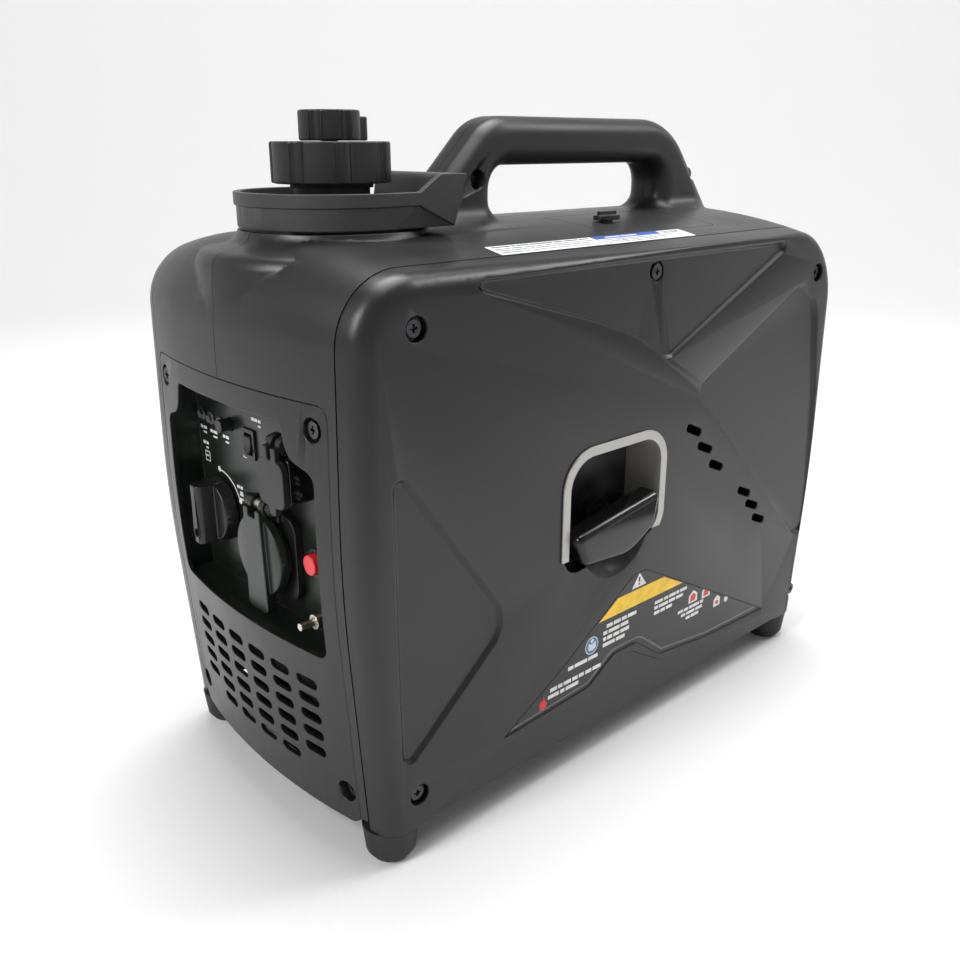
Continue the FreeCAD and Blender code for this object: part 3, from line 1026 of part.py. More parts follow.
bore = joined(rod("z", ("crank_x", f"{BLOCK_Y} + 35"), "crank_z", "crank_z + 93", 21),
              block(("crank_x - 34", "crank_x + 34"), (f"{BLOCK_Y} + 8", f"{BLOCK_Y} + 62"),
                    ("crank_z - 82", "crank_z + 38")),
              rod("y", CRANK, f"{BLOCK_Y} - 1", f"{BLOCK_Y} + 71", "crank_radius + 0.05"))
engine_block = node(cut(joined(crankcase, barrel, *fins), bore), "engine_block")
head_low = "(crank_z + 92)"
head_fins = [rod("z", ("crank_x", f"{BLOCK_Y} + 35"), f"{head_low} + {8 * i}", f"{head_low} + {8 * i + 3}",
                 38) for i in range(4)]
plug_spot = ("crank_x", f"{head_low} + 13.5")
cylinder_head = node(cut(joined(rod("z", ("crank_x", f"{BLOCK_Y} + 35"), head_low, f"{head_low} + 32", 28),
                                *head_fins),
                         rod("y", plug_spot, f"{BLOCK_Y} - 20", f"{BLOCK_Y} + 7", 9)), "cylinder_head")
spark_plug = node(joined(rod("y", plug_spot, f"{BLOCK_Y} - 28", f"{BLOCK_Y} - 10", 8),
                         rod("y", plug_spot, f"{BLOCK_Y} - 10", f"{BLOCK_Y} + 7", 5),
                         rod("y", plug_spot, f"{BLOCK_Y} - 6", f"{BLOCK_Y} - 3.2", 8)), "spark_plug")
webs = [rod("y", CRANK, f"{BLOCK_Y} + {low}", f"{BLOCK_Y} + {low + 9}", 28) for low in (14, 47)]
crankshaft = node(joined(rod("y", CRANK, f"{FAN_Y} - 1", f"{BLOCK_Y} + 74", "crank_radius"), *webs),
                  "crankshaft")
cooling_fan = node(joined(fan_disc, *blades), "cooling_fan")
muffler_box = plate("YZ_Plane", [(-44, 150, 14), (60, 150, 14), (60, 236, 14), (-44, 236, 14)],
                    f"{REAR} - 100", f"{REAR} - 32",
                    name="muffler_box")
muffler_space = plate("YZ_Plane", [(-41, 153, 11), (57, 153, 11), (57, 233, 11), (-41, 233, 11)],
                      f"{REAR} - 97",
                      f"{REAR} - 35", name="muffler_space")
muffler = node(cut(joined(muffler_box, rod("x", EXHAUST, f"{REAR} - 33", f"{REAR} - 3", 15)), muffler_space,
                   rod("x", EXHAUST, f"{REAR} - 60", f"{REAR} + 1", 12)), "muffler")
TANK = (("filler_x - 24", "filler_x + 122"), (-84, 84), ("body_top - 112", "body_top - 38"))
tank_inside = block(*[(f"{low} + 2.5", f"{high} - 2.5") for low, high in TANK])
fuel_tank = node(cut(block(*TANK), tank_inside,
                     rod("z", ("filler_x", 0), "body_top - 45", "body_top - 37", "neck_radius - 2.5")),
                 "fuel_tank")
inverter_block = block((f"{FRONT} + 62", f"{FRONT} + 170"), (-80, 80),
                       ("foot_height + 12", "foot_height + 52"))
ribs = [block((f"{FRONT} + 62", f"{FRONT} + 170"), (f"{y}", f"{y} + 3"),
              ("foot_height + 52", "foot_height + 74"))
        for y in range(-80, 80, 14)]
inverter_module = node(joined(inverter_block, *ribs), "inverter_module")
air_filter_box = node(cut(plate("XY_Plane", [(-112, 30, 8), (-30, 30, 8), (-30, 94, 8), (-112, 94, 8)], 126,
                                222),
                          block((-109, -33), (33, 91), (129, 219)), rod("x", (40, 168), -35, -29, 9)),
                      "air_filter_box")
carburettor = node(cut(block((-29.5, "crank_x - 42"), (22, 58), (150, 186)),
                       rod("x", (40, 168), -31, "crank_x - 40", 9)),
                   "carburettor")
mounts = [joined(rod("z", (f"crank_x + {x}", y), "foot_height + wall", "crank_z - 90",
                     13)) for x in (-28, 28) for y in (4, 44)]
engine_mounts = node(group(*mounts), "engine_mounts")

# ---- checks and files ------------------------------------------------------------------------------------
doc.recompute()
faults = [thing.Name for thing in doc.Objects if {"Invalid", "Error"} & set(thing.State)]
faults += [piece.Label for piece in NODES if piece.Shape.isNull() or not piece.Shape.isValid()]
for piece in NODES:
    print(f"{piece.Label:20s} {len(piece.Shape.Solids):3d} solids {piece.Shape.Volume / 1000:10.2f} cm3")
if faults:
    sys.exit(f"not built: {faults}")
os.makedirs("parts", exist_ok=True)
for piece in NODES:
    piece.Shape.exportStep(f"parts/{piece.Label}.step")
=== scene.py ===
import json
import math

import bmesh
import bpy
from mathutils import Matrix, Vector
from mathutils.bvhtree import BVHTree

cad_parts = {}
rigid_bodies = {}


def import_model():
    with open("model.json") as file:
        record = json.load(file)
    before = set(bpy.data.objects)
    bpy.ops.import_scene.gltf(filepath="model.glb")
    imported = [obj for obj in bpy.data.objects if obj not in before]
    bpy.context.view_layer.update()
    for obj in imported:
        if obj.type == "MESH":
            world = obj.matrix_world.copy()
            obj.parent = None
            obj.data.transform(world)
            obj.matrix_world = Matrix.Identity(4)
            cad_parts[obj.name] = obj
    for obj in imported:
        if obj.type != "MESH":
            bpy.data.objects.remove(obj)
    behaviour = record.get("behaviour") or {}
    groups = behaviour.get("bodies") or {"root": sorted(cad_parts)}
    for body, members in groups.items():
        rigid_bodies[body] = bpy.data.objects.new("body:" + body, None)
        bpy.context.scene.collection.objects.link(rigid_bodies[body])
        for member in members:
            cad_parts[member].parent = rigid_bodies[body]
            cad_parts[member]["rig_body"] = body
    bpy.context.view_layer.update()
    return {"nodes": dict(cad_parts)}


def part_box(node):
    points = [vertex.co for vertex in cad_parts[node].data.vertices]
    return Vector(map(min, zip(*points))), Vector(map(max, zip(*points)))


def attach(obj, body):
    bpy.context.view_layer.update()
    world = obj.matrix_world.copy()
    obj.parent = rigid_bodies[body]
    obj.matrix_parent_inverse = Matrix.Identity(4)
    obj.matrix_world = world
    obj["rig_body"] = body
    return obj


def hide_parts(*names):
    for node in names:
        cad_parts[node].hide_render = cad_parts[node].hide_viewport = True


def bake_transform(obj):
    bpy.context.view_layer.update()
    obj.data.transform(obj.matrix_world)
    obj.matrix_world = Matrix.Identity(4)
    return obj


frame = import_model()

# ---- side covers ----
# The two side covers are deep shells injection moulded in charcoal polypropylene with a spark texture.
# Raised arms cross each face; five counterbored screws hold each cover to the halves of the housing.
MM = 0.001


def moulded(name, colour, roughness, grain=1100, depth=0.00007, spread=0.05, gloss=0.5, mottle=0.14):
    """Moulded plastic with a fine spark texture, a little uneven in tone and gloss."""
    material = bpy.data.materials.new(name)
    material.use_nodes = True
    nodes, links = material.node_tree.nodes, material.node_tree.links
    shader = nodes["Principled BSDF"]
    shader.inputs["Specular IOR Level"].default_value = gloss
    place = nodes.new("ShaderNodeTexCoord")
    texture = nodes.new("ShaderNodeTexNoise")
    texture.inputs["Scale"].default_value = grain
    texture.inputs["Detail"].default_value = 3
    bump = nodes.new("ShaderNodeBump")
    bump.inputs["Strength"].default_value = 0.45
    bump.inputs["Distance"].default_value = depth
    flow = nodes.new("ShaderNodeTexNoise")
    flow.inputs["Scale"].default_value = 14
    flow.inputs["Detail"].default_value = 4
    sheen = nodes.new("ShaderNodeMapRange")
    sheen.inputs["From Min"].default_value = 0.3
    sheen.inputs["From Max"].default_value = 0.7
    sheen.inputs["To Min"].default_value = roughness - spread
    sheen.inputs["To Max"].default_value = roughness + spread
    tone = nodes.new("ShaderNodeValToRGB")
    tone.color_ramp.elements[0].position = 0.3
    tone.color_ramp.elements[1].position = 0.7
    tone.color_ramp.elements[0].color = (*[c * (1 - mottle) for c in colour], 1)
    tone.color_ramp.elements[1].color = (*[c * (1 + mottle) for c in colour], 1)
    for noise in (texture, flow):
        links.new(place.outputs["Object"], noise.inputs["Vector"])
    links.new(texture.outputs["Fac"], bump.inputs["Height"])
    links.new(bump.outputs["Normal"], shader.inputs["Normal"])
    links.new(flow.outputs["Fac"], sheen.inputs["Value"])
    links.new(sheen.outputs["Result"], shader.inputs["Roughness"])
    links.new(texture.outputs["Fac"], tone.inputs["Fac"])
    links.new(tone.outputs["Color"], shader.inputs["Base Color"])
    return material


def fitted(node_name, material, ease=0.5):
    """The finished piece of a solid: its triangles merged, its sharp edges eased and its curves smoothed."""
    solid = frame["nodes"][node_name]
    sharp_from = math.radians(32)
    shape = bmesh.new()
    shape.from_mesh(solid.data)
    bmesh.ops.remove_doubles(shape, verts=shape.verts, dist=0.002 * MM)
    bmesh.ops.dissolve_limit(shape, angle_limit=math.radians(0.6), verts=shape.verts, edges=shape.edges)
    mesh = bpy.data.meshes.new(node_name + "_mesh")
    shape.to_mesh(mesh)
    shape.free()
    mesh.materials.append(material)
    piece = bpy.data.objects.new(node_name + "_piece", mesh)
    bpy.context.scene.collection.objects.link(piece)
    mesh.shade_smooth()
    mesh.set_sharp_from_angle(angle=sharp_from)
    if ease:
        bevel = piece.modifiers.new("eased_edges", "BEVEL")
        bevel.width = ease * MM
        bevel.segments = 2
        bevel.limit_method = "ANGLE"
        bevel.angle_limit = sharp_from
        bevel.use_clamp_overlap = False
        bevel.harden_normals = True
        bevel.miter_outer = "MITER_ARC"
    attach(piece, solid["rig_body"])
    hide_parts(node_name)
    return piece


charcoal = moulded("charcoal_cover", (0.0075, 0.0075, 0.0073), 0.33, grain=1500, depth=0.00005)
fitted("right_cover", charcoal, ease=0.7)
fitted("left_cover", charcoal, ease=0.7)

# ---- shade sheets behind the vents ----
# A black sheet stands inside each cover behind its slanted vents as painted shade.
# It makes the openings read as the dark, shaded inside of the housing.
painted_shade_black = moulded("vent_painted_shade", (0.006, 0.006, 0.006), 0.85, grain=260, depth=0.0008)


def painted_shade_sheet(name, size, centre, eased):
    """A black sheet of painted shade: a box with slightly rounded edges."""
    sheet = bmesh.new()
    bmesh.ops.create_cube(sheet, size=1)
    bmesh.ops.scale(sheet, vec=size, verts=sheet.verts)
    bmesh.ops.translate(sheet, vec=centre, verts=sheet.verts)
    bmesh.ops.bevel(sheet, geom=sheet.edges[:], offset=eased, segments=3, profile=0.5, affect="EDGES",
                    material=-1)
    sheet_mesh = bpy.data.meshes.new(name + "_mesh")
    sheet.to_mesh(sheet_mesh)
    sheet.free()
    sheet_mesh.materials.append(painted_shade_black)
    piece = bpy.data.objects.new(name, sheet_mesh)
    bpy.context.scene.collection.objects.link(piece)
    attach(piece, "housing")


for side, sign in (("right", -1), ("left", 1)):
    painted_shade_sheet(side + "_vent_shade_sheet", (0.125, 0.004, 0.118), (0.0965, sign * 0.0985, 0.163), 0.0012)

# ---- caution film ----
# A printed polyester film is stuck in a shallow field of the right cover, under the starter.
# It is gloss black with a thin grey border, a yellow band and plain pictograms.


def film_finish(name, colour, roughness=0.28):
    """Printed film: smooth, with the slight waviness of a sheet rubbed down by hand."""
    return moulded(name, colour, roughness, grain=90, depth=0.00004, spread=0.03)


def rectangle(low_u, high_u, low_v, high_v):
    """The corners of an upright rectangle."""
    return [(low_u, low_v), (high_u, low_v), (high_u, high_v), (low_u, high_v)]


def disc(u, v, radius, corners=32):
    """The corners of a round patch."""
    turns = [2 * math.pi * i / corners for i in range(corners)]
    return [(u + radius * math.cos(t), v + radius * math.sin(t)) for t in turns]


def applied(name, outlines, face, stand, material, slot_name, body, onto=None, level=0):
    """Thin patches printed or stuck on: at a level of a flat face, or following the piece they lie onto."""
    patch = bmesh.new()
    grid = 4
    for outline in outlines:
        if face == "side":
            corners = [patch.verts.new((u * MM, (level - stand) * MM, v * MM)) for u, v in outline]
        elif face == "front":
            corners = [patch.verts.new(((level - stand) * MM, u * MM, v * MM)) for u, v in outline]
        else:
            corners = [patch.verts.new((u * MM, v * MM, 0.5)) for u, v in outline]
        patch.faces.new(corners)
    way = {"side": Vector((0, 1, 0)), "front": Vector((1, 0, 0)), "top": Vector((0, 0, -1))}[face]
    for axis in (0, 1) if onto else ():
        normal = Vector((0, 0, 0))
        normal[axis] = 1
        low = min(v.co[axis] for v in patch.verts)
        high = max(v.co[axis] for v in patch.verts)
        cuts = int((high - low) / (grid * MM))
        for i in range(1, cuts + 1):
            spot = Vector((0, 0, 0))
            spot[axis] = low + (high - low) * i / (cuts + 1)
            bmesh.ops.bisect_plane(patch, geom=patch.verts[:] + patch.edges[:] + patch.faces[:],
                                   plane_co=spot, plane_no=normal)
    if onto:
        tree = BVHTree.FromObject(onto, bpy.context.evaluated_depsgraph_get())
        for vert in patch.verts:
            vert.co = tree.ray_cast(vert.co, way)[0] - way * stand * MM
    bmesh.ops.recalc_face_normals(patch, faces=patch.faces)
    if patch.faces[0].normal.dot(way) > 0:
        bmesh.ops.reverse_faces(patch, faces=patch.faces)
    mesh = bpy.data.meshes.new(name + "_mesh")
    patch.to_mesh(mesh)
    patch.free()
    mesh.materials.append(material)
    piece = bpy.data.objects.new(name, mesh)
    bpy.context.scene.collection.objects.link(piece)
    backing = piece.modifiers.new("thickness", "SOLIDIFY")
    backing.thickness = 0.08 * MM
    backing.offset = -1
    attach(piece, body)
    return piece


def words(u, v, height, lengths, gap=1.1):
    """A line of short plain bars that stands for a line of print."""
    bars, at = [], u
    for length in lengths:
        bars.append(rectangle(at, at + length, v, v + height))
        at += length + gap
    return bars


film_border = [(-118, 52), (-72, 79.4), (-6, 121.5), (-1, 123.2), (5, 123.2), (9, 121.6), (157, 43.4),
               (84, 45.3),
               (31, 52.2), (8, 69.5), (3, 71.6), (-22, 71.6), (-27, 69), (-46, 56.5)]
film_field = [(-114, 53.4), (-72, 78.4), (-6, 120.4), (-1, 122.0), (5, 122.0), (8.6, 120.5), (151, 45.2),
              (84, 46.6),
              (31.6, 53.5), (8.8, 70.8), (3.3, 73.0), (-22.4, 73.0), (-27.9, 70.2), (-46.4, 57.8)]
print_white = film_finish("print_white", (0.75, 0.75, 0.74))
print_grey = film_finish("print_grey", (0.12, 0.12, 0.12))
film_black = film_finish("film_black", (0.006, 0.006, 0.006), 0.2)
print_yellow = film_finish("print_yellow", (0.95, 0.58, 0.01))
print_blue = film_finish("print_blue", (0.03, 0.18, 0.45))
print_red = film_finish("print_red", (0.65, 0.015, 0.012))
on_cover = {"face": "side", "slot_name": "gloss_black", "body": "housing", "level": -112.3}
applied("caution_border", [film_border], stand=0.10, material=print_grey, **on_cover)
applied("caution_film", [film_field], stand=0.16, material=film_black, **on_cover)
applied("caution_band", [[(-38, 97.5), (-20, 109), (29, 109), (51, 97.5)]], stand=0.24, material=print_yellow,
        **on_cover)
applied("caution_triangle", [[(-6, 110.6), (9, 110.6), (1.5, 120.6)]], stand=0.24, material=print_white,
        **on_cover)
applied("caution_mark", [[(0.9, 114), (2.1, 114), (2.4, 117.6), (0.6, 117.6)], disc(1.5, 112.5, 0.8, 12)],
        stand=0.32, material=film_black, **on_cover)
lines = words(-30, 91, 2.6, (6, 7, 5, 9)) + words(-33, 86.6, 2.6, (4, 11, 8)) + words(-33, 82.2, 2.6,
                                                                                      (3, 5, 6, 9))
lines += words(-33, 77.8, 2.6, (12, 9)) + words(-66, 73.4, 2.6, (5, 12, 9))
lines += words(-82, 64.6, 2.6, (6, 4, 7, 5, 5, 6, 8)) + words(-84, 60.2, 2.6, (10, 4, 12))
lines += words(20, 90.8, 2.3, (9, 5, 7, 3, 8)) + words(20, 86.8, 2.3, (4, 10, 7, 8)) + words(20, 82.8, 2.3,
                                                                                             (6, 5, 7))
lines += words(48, 73.4, 2.2, (6, 5, 12, 4)) + words(52, 69.6, 2.2, (5, 10, 8)) + words(58, 65.8, 2.2, (5, 9))
applied("caution_lines", lines, stand=0.24, material=print_white, **on_cover)
applied("caution_round", [disc(-44, 83.5, 6.2)], stand=0.24, material=print_white, **on_cover)
applied("caution_blue", [disc(-44, 83.5, 5.6)], stand=0.32, material=print_blue, **on_cover)
applied("caution_book",
        [[(-47.5, 81), (-44, 79.8), (-40.5, 81), (-40.5, 85.6), (-44, 84.4), (-47.5, 85.6)],
         disc(-44, 87, 1.4, 14)],
        stand=0.40, material=print_white, **on_cover)
flame = [(-91, 55.4), (-86, 55.4), (-84.6, 58), (-85.6, 60.6), (-86.2, 59), (-87.4, 64), (-89, 61),
         (-89.8, 62.2), (-91.6, 59)]
applied("caution_flame", [flame], stand=0.24, material=print_red, **on_cover)
houses, fronts = [], []
for left, base in ((60, 77.5), (76, 76.4)):
    houses.append([(left, base), (left + 10, base), (left + 10, base + 6), (left + 5, base + 9.6),
                   (left, base + 6)])
    fronts.append([(left + 2, base + 1.4), (left + 8, base + 1.4), (left + 8, base + 5.4),
                   (left + 5, base + 7.6), (left + 2, base + 5.4)])
houses.append([(92, 64), (100, 64), (100, 70), (96, 73), (92, 70)])
houses.append(disc(108, 66, 2.6, 18))
fronts.append(disc(96, 67, 1.8, 14))
applied("caution_houses", houses, stand=0.24, material=print_white, **on_cover)
applied("caution_house_fronts", fronts, stand=0.32, material=print_red, **on_cover)

# ---- housing halves, handle and hatch ----
# The two halves of the housing carry the top, the bow handle and the ends, and meet on the middle plane.
# They are the same charcoal plastic with a coarser spark texture; its colour is painted a little greyer than
# the covers as a painted sheen of the overhead light on the top.
top_charcoal_painted_sheen = moulded("charcoal_top_painted_sheen", (0.0125, 0.0125, 0.0122), 0.39, grain=1300, depth=0.00007)
right_shell = fitted("right_shell", top_charcoal_painted_sheen, ease=0)
fitted("left_shell", top_charcoal_painted_sheen, ease=0)
fitted("top_hatch", top_charcoal_painted_sheen, ease=0.35)
black_satin = moulded("black_satin", (0.008, 0.008, 0.0082), 0.34, grain=700, depth=0.00003)
fitted("hatch_knob", black_satin, ease=0.5)
fitted("service_door", charcoal, ease=0.6)
fitted("service_door_knob", black_satin, ease=0.5)

# ---- top label ----
# A white paper label with rows of small print is stuck on the crown beside the hatch.
# Its rear half has a blue heading with a plain title.
label = {"face": "top", "slot_name": "panel_plate", "body": "housing", "onto": right_shell}
label_white = film_finish("label_white", (0.72, 0.73, 0.74), 0.42)
label_ink = film_finish("label_ink", (0.10, 0.10, 0.12), 0.42)
label_blue = film_finish("label_blue", (0.02, 0.09, 0.42), 0.42)
applied("top_label", [rectangle(-110, -26, -96, -81.6), rectangle(-25, 60, -96, -81.6)], stand=0.10,
        material=label_white, **label)
applied("top_label_heading", [rectangle(-25, 36, -86.6, -81.6)], stand=0.18, material=label_blue, **label)
rows = words(-107, -84.4, 1.4, (14, 3, 9, 18, 7, 12, 8)) + words(-107, -87.4, 0.9, (11, 8, 15, 6, 13, 9, 10))
rows += words(-107, -90.2, 0.9, (8, 12, 5, 16, 11, 14)) + words(-107, -93.2, 0.9, (16, 5, 10, 7, 12, 9, 6))
rows += words(-22, -89.2, 0.8, (9, 12, 8, 15, 6, 11)) + words(-22, -91.6, 0.8,
                                                              (13, 7, 11, 9, 14)) + words(-22, -94, 0.8,
                                                                                          (8, 10, 16, 7))
rows += [rectangle(39, 57, -84.2, -83.4), rectangle(39, 54, -86.2, -85.4)]
applied("top_label_rows", rows, stand=0.18, material=label_ink, **label)
applied("top_label_title", words(-15, -85.2, 1.6, (13, 15)), stand=0.26, material=label_white, **label)

# ---- base and feet ----
# The base tray is moulded in the same plastic as the covers and closes the underside.
# Four moulded rubber feet are screwed under its corners.
fitted("base_tray", charcoal, ease=0.5)
rubber = moulded("foot_rubber", (0.011, 0.011, 0.011), 0.62, grain=500, depth=0.0001)
fitted("rubber_feet", rubber, ease=0.9)

# ---- end fascias ----
# A satin fascia, moulded in black plastic, is screwed into each end with four screws.
# The front one frames the controls over a slotted grille; the rear one has louvres and the exhaust hole.
fascia_satin = moulded("fascia_satin", (0.0075, 0.0075, 0.0073), 0.35, grain=1200, depth=0.00004)
fitted("front_fascia", fascia_satin, ease=0.55)
fitted("rear_fascia", fascia_satin, ease=0.55)

# ---- shade sheet behind the grille ----
# A black sheet stands behind the grille as painted shade, so the slots read as the dark inside.
# It sits between the inverter and the fascia.
painted_shade_sheet("grille_shade_sheet", (0.004, 0.18, 0.0555), (-0.1955, 0, 0.0938), 0.001)

# ---- control panel ----
# The panel is a tray moulded in semi-gloss black plastic, fixed behind the fascia.
# Plain white marks are screen printed on it beside each control.
panel_black = moulded("panel_black", (0.0065, 0.0095, 0.0070), 0.30, grain=1600, depth=0.00002)
fitted("control_panel", panel_black, ease=0.3)
printed = {"face": "front", "slot_name": "panel_plate", "body": "housing", "level": -204}
marks = []
for u, v, lengths in ((71, 220, (4, 3)), (57.5, 219.5, (5, 3)), (43, 219.5, (4, 2.5)), (70.5, 210, (3, 3)),
                      (22, 226, (3,)),
                      (22, 215.6, (4,)), (31, 190.5, (3, 3)), (31, 186, (4,)), (3, 238, (3, 3, 3)),
                      (-66, 213.5, (4,)),
                      (-66, 204, (4, 2)), (-66, 187, (4, 3)), (-66, 157, (3, 3))):
    marks += words(u, v, 1.9, lengths, gap=0.8)
    marks += words(u + 0.5, v - 2.8, 1.2, lengths[:1], gap=0.8)
dial_y, dial_z, arc_radius, arc_width = 58, 172, 25.2, 0.9
sweep = [math.radians(-2 + 68 * i / 14) for i in range(15)]
outer_arc = [(dial_y - arc_radius * math.sin(t), dial_z + arc_radius * math.cos(t)) for t in sweep]
inner_radius = arc_radius - arc_width
inner_arc = [(dial_y - inner_radius * math.sin(t),
              dial_z + inner_radius * math.cos(t)) for t in reversed(sweep)]
marks.append(outer_arc + inner_arc)
for u, v in (outer_arc[0], outer_arc[-1]):
    marks.append(disc(u, v, 1.8, 16))
fuel_pump = [rectangle(70, 76, 199, 199.6), rectangle(70, 70.6, 199.6, 205), rectangle(75.4, 76, 199.6, 205),
             rectangle(70, 76, 205, 205.6),
        rectangle(71.5, 74.5, 202, 203)]
marks += fuel_pump
applied("panel_marks", marks, stand=0.12, material=print_white, **printed)

# ---- controls ----
# The dial, rocker, lamps and sockets are snapped or screwed into the panel from the front.
# The dial and caps are matt, the 12 volt socket is polished black, and the lamps have clear dark lenses.
knob_black = moulded("knob_black", (0.0085, 0.0085, 0.0085), 0.36, grain=900, depth=0.00003)
gloss_black = moulded("gloss_black", (0.005, 0.005, 0.0055), 0.12, grain=160, depth=0.00002, spread=0.03)
cap_rubber = moulded("cap_rubber", (0.014, 0.014, 0.014), 0.5, grain=800, depth=0.00005)
lid_black = moulded("lid_black", (0.0075, 0.0105, 0.0080), 0.33, grain=1100, depth=0.00003)
fitted("fuel_dial", knob_black, ease=0.8)
fitted("dial_spindle", knob_black, ease=0)
fitted("fuel_tap", knob_black, ease=0.4)
fitted("switch_frame", knob_black, ease=0.25)
fitted("eco_rocker", cap_rubber, ease=0.3)
fitted("reset_button", knob_black, ease=0.4)
fitted("dc_socket", gloss_black, ease=0.6)
fitted("dc_socket_cap", cap_rubber, ease=0.6)
fitted("ac_socket", knob_black, ease=0.5)
fitted("ac_socket_lid", lid_black, ease=0.6)
fitted("breaker_body", knob_black, ease=0.4)

lens = bpy.data.materials.new("lamp_lens")
lens.use_nodes = True
lens_nodes, lens_links = lens.node_tree.nodes, lens.node_tree.links
lens_shader = lens_nodes["Principled BSDF"]
lens_shader.inputs["Coat Weight"].default_value = 1.0
lens_shader.inputs["Coat Roughness"].default_value = 0.05
# The lens colour is a painted reflection: dark face-on and painted lighter towards its grazing rims.
lens_facing_weight = lens_nodes.new("ShaderNodeLayerWeight")
lens_painted_rim_sheen = lens_nodes.new("ShaderNodeValToRGB")
lens_painted_rim_sheen.color_ramp.elements[0].color = (0.02, 0.02, 0.02, 1)
lens_painted_rim_sheen.color_ramp.elements[1].color = (0.16, 0.16, 0.16, 1)
lens_links.new(lens_facing_weight.outputs["Facing"], lens_painted_rim_sheen.inputs["Fac"])
lens_links.new(lens_painted_rim_sheen.outputs["Color"], lens_shader.inputs["Base Color"])
fitted("indicator_lamps", lens, ease=0.3)
button_red = moulded("button_red", (0.66, 0.022, 0.03), 0.3, grain=300, depth=0.00002)
fitted("breaker_button", button_red, ease=0.7)

# ---- metal parts of the controls ----
# The grounding stud, its nut, the hinge pins and the lid's spring are zinc plated steel.
# The screws that hold the fascias, the covers and the handle are blackened steel.


def turned_metal(name, colour, roughness, grain=260):
    """Machined or plated metal, with fine uneven brightness."""
    material = moulded(name, colour, roughness, grain=grain, depth=0.00003, spread=0.08)
    material.node_tree.nodes["Principled BSDF"].inputs["Metallic"].default_value = 1
    return material


zinc = turned_metal("zinc_plate", (0.62, 0.58, 0.50), 0.28)
black_steel = turned_metal("black_steel", (0.075, 0.075, 0.08), 0.33)
for part in ("ground_terminal", "ground_nut", "dc_cap_pin", "ac_lid_pin", "ac_lid_spring"):
    fitted(part, zinc, ease=0.25)
fitted("fascia_screws", black_steel, ease=0.3)
fitted("cover_screws", black_steel, ease=0.3)

# ---- spill tray, filler and caps ----
# The dark grey spill tray is moulded in one piece and clips round the filler neck.
# The lobed cap, its vent knob and the neck are black nylon; a rubber ring seals the plug.
tray_grey = moulded("tray_grey", (0.034, 0.034, 0.034), 0.47, grain=1000, depth=0.00006)
cap_black = moulded("cap_black", (0.0075, 0.0075, 0.0078), 0.40, grain=900, depth=0.00004)
fitted("fuel_tray", tray_grey, ease=0.5)
fitted("filler_neck", cap_black, ease=0.3)
fitted("cap_plug", cap_black, ease=0.3)
fitted("cap_gasket", rubber, ease=0)
fitted("fuel_cap", cap_black, ease=1.1)
fitted("vent_knob", cap_black, ease=1.0)

# ---- pull starter ----
# A satin silver painted rim is pressed into the window and frames the black cup.
# The polished grip hangs on a braided cord that runs back through a guide to the reel.
rim_silver = moulded("rim_silver", (0.44, 0.43, 0.41), 0.32, grain=900, depth=0.00002, spread=0.02,
                     mottle=0.03)
rim_silver.node_tree.nodes["Principled BSDF"].inputs["Metallic"].default_value = 0.55
fitted("recess_bezel", rim_silver, ease=0.5)
fitted("recess_cup", cap_black, ease=0.5)
fitted("rope_guide", cap_black, ease=0.4)
fitted("starter_grip", gloss_black, ease=0.6)

cord_low, cord_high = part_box("starter_rope")
cord_x, cord_z = (cord_low.x + cord_high.x) / 2, (cord_low.z + cord_high.z) / 2
end_room = 0.0004
cord = bmesh.new()
bmesh.ops.create_circle(cord, segments=20, radius=(cord_high.x - cord_low.x) / 2 * 0.96)
bmesh.ops.rotate(cord, verts=cord.verts, cent=(0, 0, 0), matrix=Matrix.Rotation(math.radians(90), 3, "X"))
bmesh.ops.translate(cord, verts=cord.verts, vec=(cord_x, cord_low.y + end_room, cord_z))
ring = cord.edges[:]
steps = 40
for i in range(steps):
    grown = bmesh.ops.extrude_edge_only(cord, edges=ring)["geom"]
    moved = [g for g in grown if isinstance(g, bmesh.types.BMVert)]
    bmesh.ops.translate(cord, verts=moved, vec=(0, (cord_high.y - cord_low.y - 2 * end_room) / steps, 0))
    ring = [g for g in grown if isinstance(g, bmesh.types.BMEdge) and all(v in moved for v in g.verts)]
bmesh.ops.holes_fill(cord, edges=cord.edges[:], sides=0)
bmesh.ops.recalc_face_normals(cord, faces=cord.faces)
cord_mesh = bpy.data.meshes.new("starter_cord_mesh")
cord.to_mesh(cord_mesh)
cord.free()
braid = moulded("cord_braid", (0.02, 0.02, 0.02), 0.7, grain=1400, depth=0.0002)
cord_mesh.materials.append(braid)
cord_mesh.shade_smooth()
starter_cord = bpy.data.objects.new("starter_cord", cord_mesh)
bpy.context.scene.collection.objects.link(starter_cord)
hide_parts("starter_rope")
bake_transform(starter_cord)

# ---- engine, alternator and inverter ----
# The engine, head, fan, carburettor and finned inverter box are cast aluminium; the shaft is steel.
# The stator is wound with copper; the silencer is painted; all of it is hidden by the housing.
cast = turned_metal("cast_aluminium", (0.46, 0.46, 0.45), 0.48, grain=500)
copper = turned_metal("copper_winding", (0.62, 0.30, 0.14), 0.35)
soot = moulded("muffler_paint", (0.03, 0.03, 0.03), 0.6, grain=600, depth=0.0001)
blown = moulded("tank_plastic", (0.03, 0.03, 0.03), 0.5, grain=400, depth=0.0001)
for part in ("engine_block", "cylinder_head", "inverter_module", "carburettor", "cooling_fan"):
    fitted(part, cast, ease=0.4)
for part in ("crankshaft", "alternator_rotor", "spark_plug", "rewind_spring"):
    fitted(part, zinc, ease=0.3)
fitted("alternator_stator", copper, ease=0.4)
fitted("starter_housing", cap_black, ease=0.4)
fitted("rope_reel", cap_black, ease=0.4)
fitted("muffler", soot, ease=0.5)
fitted("fuel_tank", blown, ease=0.8)
fitted("air_filter_box", blown, ease=0.6)
fitted("engine_mounts", rubber, ease=0.6)

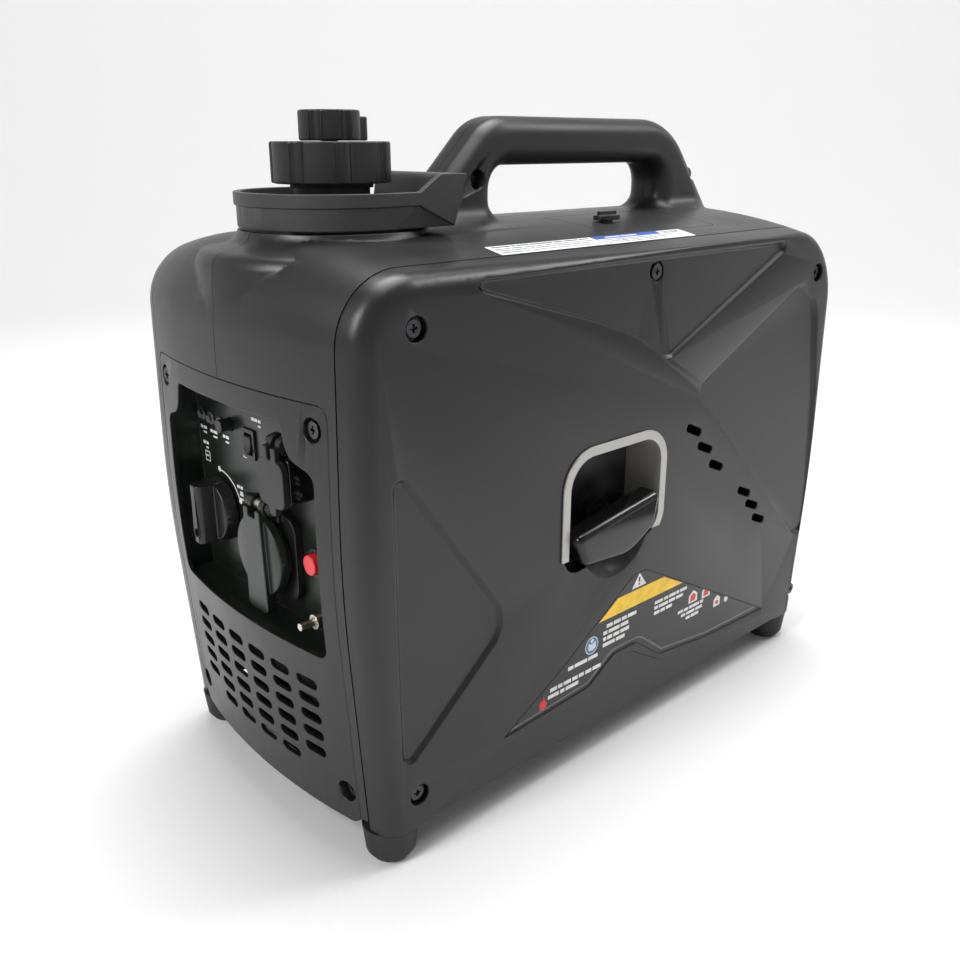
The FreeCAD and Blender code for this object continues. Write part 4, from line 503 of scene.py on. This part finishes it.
# ---- floor, light and camera ----
# A plain pale round floor runs up into a wall on all sides; soft lights hang above and beside the object.
floor_radius, sweep_radius, wall_top, floor_level = 1.9, 1.1, 2.8, -0.0002
stage_mesh = bmesh.new()
profile = [stage_mesh.verts.new((0, 0, floor_level)), stage_mesh.verts.new((floor_radius, 0, floor_level))]
for i in range(1, 13):
    turn = math.radians(90 * i / 12)
    out, up = sweep_radius * math.sin(turn), sweep_radius * (1 - math.cos(turn))
    profile.append(stage_mesh.verts.new((floor_radius + out, 0, floor_level + up)))
profile.append(stage_mesh.verts.new((floor_radius + sweep_radius, 0, wall_top)))
edges = [stage_mesh.edges.new(pair) for pair in zip(profile, profile[1:])]
bmesh.ops.spin(stage_mesh, geom=profile + edges, cent=(0, 0, 0), axis=(0, 0, 1), angle=2 * math.pi, steps=96,
               use_merge=True)
bmesh.ops.remove_doubles(stage_mesh, verts=stage_mesh.verts, dist=0.00001)
bmesh.ops.recalc_face_normals(stage_mesh, faces=stage_mesh.faces)
if sum(face.normal.z for face in stage_mesh.faces) < 0:
    bmesh.ops.reverse_faces(stage_mesh, faces=stage_mesh.faces)
backdrop_mesh = bpy.data.meshes.new("backdrop_mesh")
stage_mesh.to_mesh(backdrop_mesh)
stage_mesh.free()
backdrop_mesh.shade_smooth()
backdrop = bpy.data.objects.new("backdrop", backdrop_mesh)
bpy.context.scene.collection.objects.link(backdrop)
paper = moulded("backdrop_paper", (0.84, 0.84, 0.84), 0.9, grain=300, depth=0.0, spread=0.0, gloss=0.1,
                mottle=0.01)
backdrop_mesh.materials.append(paper)


def softbox(name, place, aim, size, power):
    """A large soft studio light aimed at a point."""
    light = bpy.data.lights.new(name, "AREA")
    light.shape = "RECTANGLE"
    light.size, light.size_y = size
    light.energy = power
    lamp = bpy.data.objects.new(name, light)
    lamp.location = place
    lamp.rotation_euler = (Vector(aim) - Vector(place)).to_track_quat("-Z", "Y").to_euler()
    bpy.context.scene.collection.objects.link(lamp)


softbox("top_light", (0.1, 0.0, 1.7), (0, 0, 0.2), (1.1, 0.8), 20)
softbox("key_light", (-1.6, -0.1, 1.35), (0, 0, 0.15), (0.5, 0.9), 22)
softbox("rear_light", (1.2, -0.7, 1.5), (0.1, 0, 0.2), (0.4, 0.8), 9)
softbox("paper_light", (0.6, 0.4, 2.3), (1.6, 1.8, 0.4), (2.0, 1.0), 38)
world = bpy.data.worlds.new("studio")
world.use_nodes = True
world.node_tree.nodes["Background"].inputs["Color"].default_value = (1, 1, 1, 1)
world.node_tree.nodes["Background"].inputs["Strength"].default_value = 0.09
bpy.context.scene.world = world
bpy.context.scene.view_settings.view_transform = "Standard"

lens_data = bpy.data.cameras.new("camera")
lens_data.lens = 35.74
lens_data.sensor_width = 36
lens_data.clip_start = 0.01
camera = bpy.data.objects.new("camera", lens_data)
camera.location = (-0.462, -0.465, 0.3882)
camera.rotation_euler = Vector((0.6345, 0.6972, -0.3336)).to_track_quat("-Z", "Y").to_euler()
bpy.context.scene.collection.objects.link(camera)
bpy.context.scene.camera = camera
